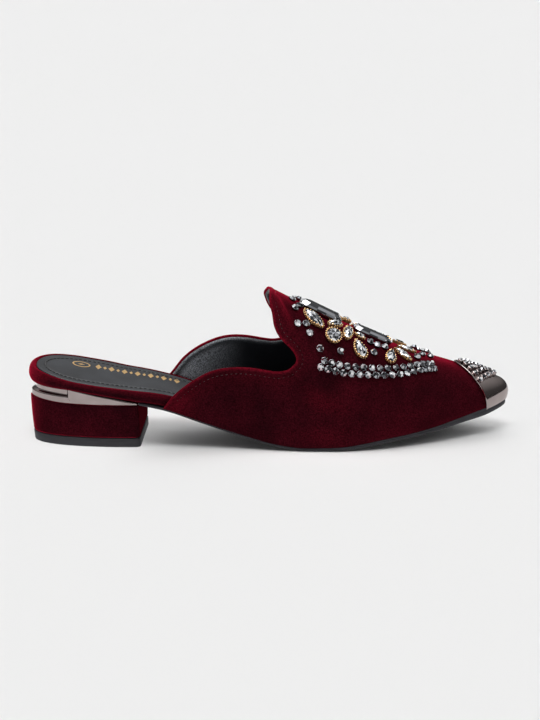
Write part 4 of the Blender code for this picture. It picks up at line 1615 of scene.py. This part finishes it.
def add_claw(shape, seat, corner, lean, half_sizes, shift=0.0):
    """A rounded claw at a corner of a stone, leaning in over its edge."""
    out = seat.axes[2]
    offset = seat.middle - corner
    inward = unit(offset - out * (offset @ out))
    across = np.cross(out, inward)
    tilted = unit(lean[0] * inward + lean[1] * out)
    axes = np.array([tilted, across, np.cross(tilted, across)])
    shape.add(*ball(corner + inward * shift, axes * np.array(half_sizes)[:, None]), SETTING)


def add_prongs(shape, seat, turns, share, height, size):
    """Claws over the edge of a stone, at places round its outline given in turns."""
    ring = seat.ring(share, height)
    for turn in turns:
        corner = ring[int(round(turn * len(ring))) % len(ring)]
        add_claw(shape, seat, corner, PRONG_LEAN, PRONG_HALVES * size)


def make_jewel(name, cut, x, fall, turn, long_size, wide_size, high, side):
    """One node's stone in its setting: gilt rope for the fancy cuts, silver claws for the others."""
    middle, axes = surface_frame(x, fall, side, turn)
    halves = (long_size / 2, wide_size / 2)
    lift = GAP + seat_height(middle, axes, *halves, x)
    middle = middle + axes[2] * lift
    seat = Seat(middle, axes, cut_outline(cut, 8 if cut == "round" else 12), *halves)
    shape = Shape()
    foot = -lift - SUNK
    girdle = GIRDLE_SHARE * high
    seed = x + 3 * fall
    if cut in ("baguette", "round"):
        if cut == "baguette":
            add_baguette(shape, seat, foot, girdle, high)
        else:
            add_rhinestone(shape, seat, foot, girdle, high, seed)
        return add_piece(f"{name}_set", shape, PAINTED_FACET_SHADES + [SILVER], [name])
    fine = Seat(middle, axes, cut_outline(cut, 48), *halves)
    add_gem(shape, seat, 0.86, girdle, high, seed)
    cup = ((0.88, foot), (0.93, 0.1), (0.93, girdle - 0.1), (0.86, girdle - 0.05))
    cup += ((0.80, 0.1), (0.80, foot))
    # The cup is in the dark gilt: painted shade round the stone
    add_skirt(shape, fine, cup, CUP)
    add_beads(shape, fine, 0.93, girdle + 0.10, radius=0.38, spacing=1.65)
    add_beads(shape, fine, 0.97, girdle - 0.7, radius=0.30, spacing=1.30)
    add_prongs(shape, fine, DIAGONALS, 0.86, girdle + 0.35, size=0.36)
    return add_piece(f"{name}_set", shape, PAINTED_FACET_SHADES + [GOLD, GILT_SHADED_CUP], [name])


def add_baguette(shape, seat, foot, girdle, high):
    """A long step-cut stone in a claw setting."""
    bevel = (1 - TABLE_SHARE) * np.abs(seat.plan).max(axis=0)[1]
    step = girdle + STEP_RISE * (high - girdle)
    steps = ((0.0, girdle), (STEP_INSET * bevel, step), (bevel, high))
    points, faces = loft([seat.inner(inset, height) for inset, height in steps], "open")
    size = len(seat.plan)
    # The bevels and table take painted highlight, grey and painted shade looks, listed facet by facet
    shape.add(points, faces + strips(len(points) - size, size), BAGUETTE_BEVELS + BAGUETTE_TABLE)
    add_skirt(shape, seat, ((0.9, foot), (1.0, 0.3), (1.03, girdle), (0.97, girdle), (0.8, foot)))
    for i in BAGUETTE_CLAWS:
        corner = seat.ring(1.0, girdle + CLAW_RISE)[i]
        add_claw(shape, seat, corner, CLAW_LEAN, CLAW_HALVES, CLAW_SHIFT)


def add_rhinestone(shape, seat, foot, girdle, high, seed):
    """A small round stone in a four-clawed cup."""
    add_small_gem(shape, seat, 0.96, girdle, high, seed)
    cup = ((0.72, foot), (0.94, 0.25), (1.02, girdle - 0.1), (0.93, girdle), (0.6, foot))
    add_skirt(shape, seat, cup)
    add_prongs(shape, seat, (0.0, 0.25, 0.5, 0.75), 0.92, girdle + 0.12, size=0.34)


def make_jewels():
    for row in RIDGE_JEWELS:
        make_jewel(*row, "lateral")
    for side in SIDES:
        for name, *sizes in SIDE_JEWELS:
            make_jewel(f"{name}_{side}", *sizes, side)
        for k, (x, fall) in enumerate(SIDE_STONES):
            sizes = (STONE_LONG, STONE_LONG, STONE_HIGH)
            make_jewel(f"stone_{side}_{k + 1:02d}", "round", x, fall, 37.0 * k, *sizes, side)


def make_border(side):
    """A double row of rhinestones, half a step apart, with a bead between each pair of the lower row."""
    path_x, path_fall = path_curves(BORDER_ROWS)
    outline = cut_outline("round", 8)
    shape = Shape()
    for i, t in enumerate(np.linspace(0, 1, 2 * BORDER_STONES + 1)):
        upper_row = i % 2 == 1
        x = float(path_x(t))
        fall = float(path_fall(t))
        shift = BORDER_WIDE / 4
        middle, axes = surface_frame(x, fall - shift if upper_row else fall + shift, side, 29.0 * i)
        seat = Seat(middle + axes[2] * GAP, axes, outline, BORDER_RADIUS, BORDER_RADIUS)
        add_rhinestone(shape, seat, -SUNK, BORDER_GIRDLE, BORDER_HIGH + 0.1, i)
        if upper_row:
            low, low_axes = surface_frame(x, fall + shift, side, 0.0)
            shape.add(*ball(low + low_axes[2] * BORDER_BEAD_RISE, low_axes * BORDER_BEAD), SETTING)
    node = f"border_stones_{side}"
    add_piece(f"{node}_set", shape, PAINTED_FACET_SHADES + [SILVER], [node])


def make_cluster():
    """The cap's stones: a square of tall cups turned into a diamond over the ridge."""
    shape = Shape()
    fine = cut_outline("round", 20)
    outline = cut_outline("round", 8)
    radius = CLUSTER_LONG / 2
    rim = CLUSTER_RIM
    cup = ((0.86, -SUNK), (0.92, 0.4), (1.0, rim - 0.5), (1.0, rim), (0.9, rim + 0.12))
    cup += ((0.84, rim - 0.2), (0.7, -SUNK))
    steps = (np.arange(CLUSTER_STONES) + 0.5) / CLUSTER_STONES
    for a, p in enumerate(steps):
        for b, q in enumerate(steps):
            x = CLUSTER_BACK + (CLUSTER_FRONT - CLUSTER_BACK) * (p + q) / 2
            fall = CLUSTER_FALL * (p - q)
            side = "lateral" if fall >= 0 else "medial"
            middle, axes = surface_frame(x, abs(fall), side, 31.0 * a + 17.0 * b)
            middle = middle + axes[2] * (GAP + CAP_WALL)
            add_skirt(shape, Seat(middle, axes, fine, radius, radius), cup)
            stone = Seat(middle, axes, outline, radius, radius)
            add_small_gem(shape, stone, 0.92, rim - 0.1, CLUSTER_HIGH + 0.6, 5 * a + b)
            add_prongs(shape, stone, DIAGONALS, 0.92, rim + 0.12, size=0.26)
    add_piece("toe_cap_stones_set", shape, PAINTED_FACET_SHADES + [GUNMETAL], ["toe_cap_stones"])


# Stage: floor, light and camera


def stage_mesh(name, points, faces, looks, albedo, glow):
    """A dull mesh of the stage that may glow by itself."""
    mesh = bpy.data.meshes.new(name)
    mesh.from_pydata(points, [], faces)
    made, tree, shader = principled(looks, grey(albedo), 0.9, specular_ior_level=0.0)
    feed(tree, shader, emission_color=(1.0, 1.0, 1.0, 1.0), emission_strength=glow)
    mesh.materials.append(made)
    return new_object(name, mesh)


def square(half):
    return [(-half, -half, 0), (half, -half, 0), (half, half, 0), (-half, half, 0)]


def add_card(name, middle):
    """A small bright card facing the shoe, which shows in gloss alone."""
    card = stage_mesh(name, square(GLINT_SIZE / 2), [(0, 1, 2, 3)], name, 0.0, GLINT_STRENGTH)
    card.location = middle
    card.rotation_euler = (Vector(GLINT_TARGET) - Vector(middle)).to_track_quat("Z", "Y").to_euler()
    card.visible_camera = False
    card.visible_shadow = False
    card.visible_diffuse = False


def make_floor():
    floor = stage_mesh("floor", square(FLOOR_REACH), [(0, 1, 2, 3)], "pale_floor", FLOOR_ALBEDO, FLOOR_GLOW)
    floor.location = (0.0, 0.0, -0.0001)
    return floor


def make_horizon():
    """A glowing ring far round the shoe, which only lights it."""
    turns = full_turn(48)
    x = HORIZON_RADIUS * np.cos(turns)
    y = HORIZON_RADIUS * np.sin(turns)
    rings = [np.stack([x, y, np.full(len(turns), height)], -1) for height in HORIZON_LEVELS]
    points, faces = loft(rings, "open")
    horizon = stage_mesh("horizon", points.tolist(), faces, "pale_horizon", 0.0, HORIZON_GLOW)
    horizon.visible_camera = False
    horizon.visible_glossy = False
    horizon.visible_transmission = False
    horizon.visible_shadow = False
    return horizon


def make_sky():
    """A sky that shows in gloss and lights nothing dull."""
    world = bpy.data.worlds.new("studio")
    bpy.context.scene.world = world
    world.use_nodes = True
    tree = world.node_tree
    place = add_node(tree, "TexCoord")
    parts = add_node(tree, "SeparateXYZ", vector=place.outputs["Generated"])
    stops = [(height, grey(shade)) for height, shade in SKY_SHADES]
    colour = colour_from(tree, parts.outputs["Z"], *stops)
    feed(tree, tree.nodes["Background"], color=colour, strength=SKY_STRENGTH)
    world.cycles_visibility.diffuse = False


def add_sun(name, tilt, lean, spread, energy):
    light = bpy.data.lights.new(name, "SUN")
    light.energy = energy
    light.angle = math.radians(spread)
    sun = new_object(name, light)
    sun.rotation_euler = (math.radians(tilt), math.radians(lean), 0)
    return sun


def linking_group(name, member, state):
    """A group for light linking that includes or excludes one object."""
    group = bpy.data.collections.new(name)
    group.objects.link(member)
    group.collection_objects[0].light_linking.link_state = state
    return group


def make_stage():
    """Floor, sky and lamps. The shoe and the floor are lit by lamps of their own."""
    floor = make_floor()
    horizon = make_horizon()
    make_sky()
    shoe_only = linking_group("shoe_only", floor, "EXCLUDE")
    floor_only = linking_group("floor_only", floor, "INCLUDE")
    sole_only = linking_group("sole_only", bpy.data.objects["outsole_rubber"], "INCLUDE")
    horizon.light_linking.receiver_collection = shoe_only
    for row in SHOE_LIGHTS:
        add_sun(*row).light_linking.receiver_collection = shoe_only
    for row in FLOOR_LIGHTS:
        sun = add_sun(*row)
        sun.light_linking.receiver_collection = floor_only
        if row[0] != "floor_front":
            sun.light_linking.blocker_collection = sole_only
            sun.data.cycles.use_multiple_importance_sampling = False
    for name, middle in GLINT_CARDS.items():
        add_card(name, middle)


def make_camera():
    azimuth = math.radians(CAMERA_AZIMUTH)
    elevation = math.radians(CAMERA_ELEVATION)
    level = math.cos(elevation)
    back = Vector((math.sin(azimuth) * level, -math.cos(azimuth) * level, math.sin(elevation)))
    lens = bpy.data.cameras.new("photo_camera")
    lens.sensor_fit = "VERTICAL"
    lens.sensor_height = CAMERA_SENSOR
    lens.lens = CAMERA_LENS
    lens.clip_end = 100.0
    camera = new_object("photo_camera", lens)
    camera.location = Vector(CAMERA_TARGET) + back * CAMERA_DISTANCE
    camera.rotation_euler = (-back).to_track_quat("-Z", "Y").to_euler()
    bpy.context.scene.camera = camera


make_upper()
make_toe_cap()
make_outsole()
make_footbed()
make_insole()
make_heel()
make_jewels()
for name in SIDES:
    make_border(name)
make_cluster()
make_stage()
make_camera()
bpy.context.scene.view_settings.view_transform = "Standard"
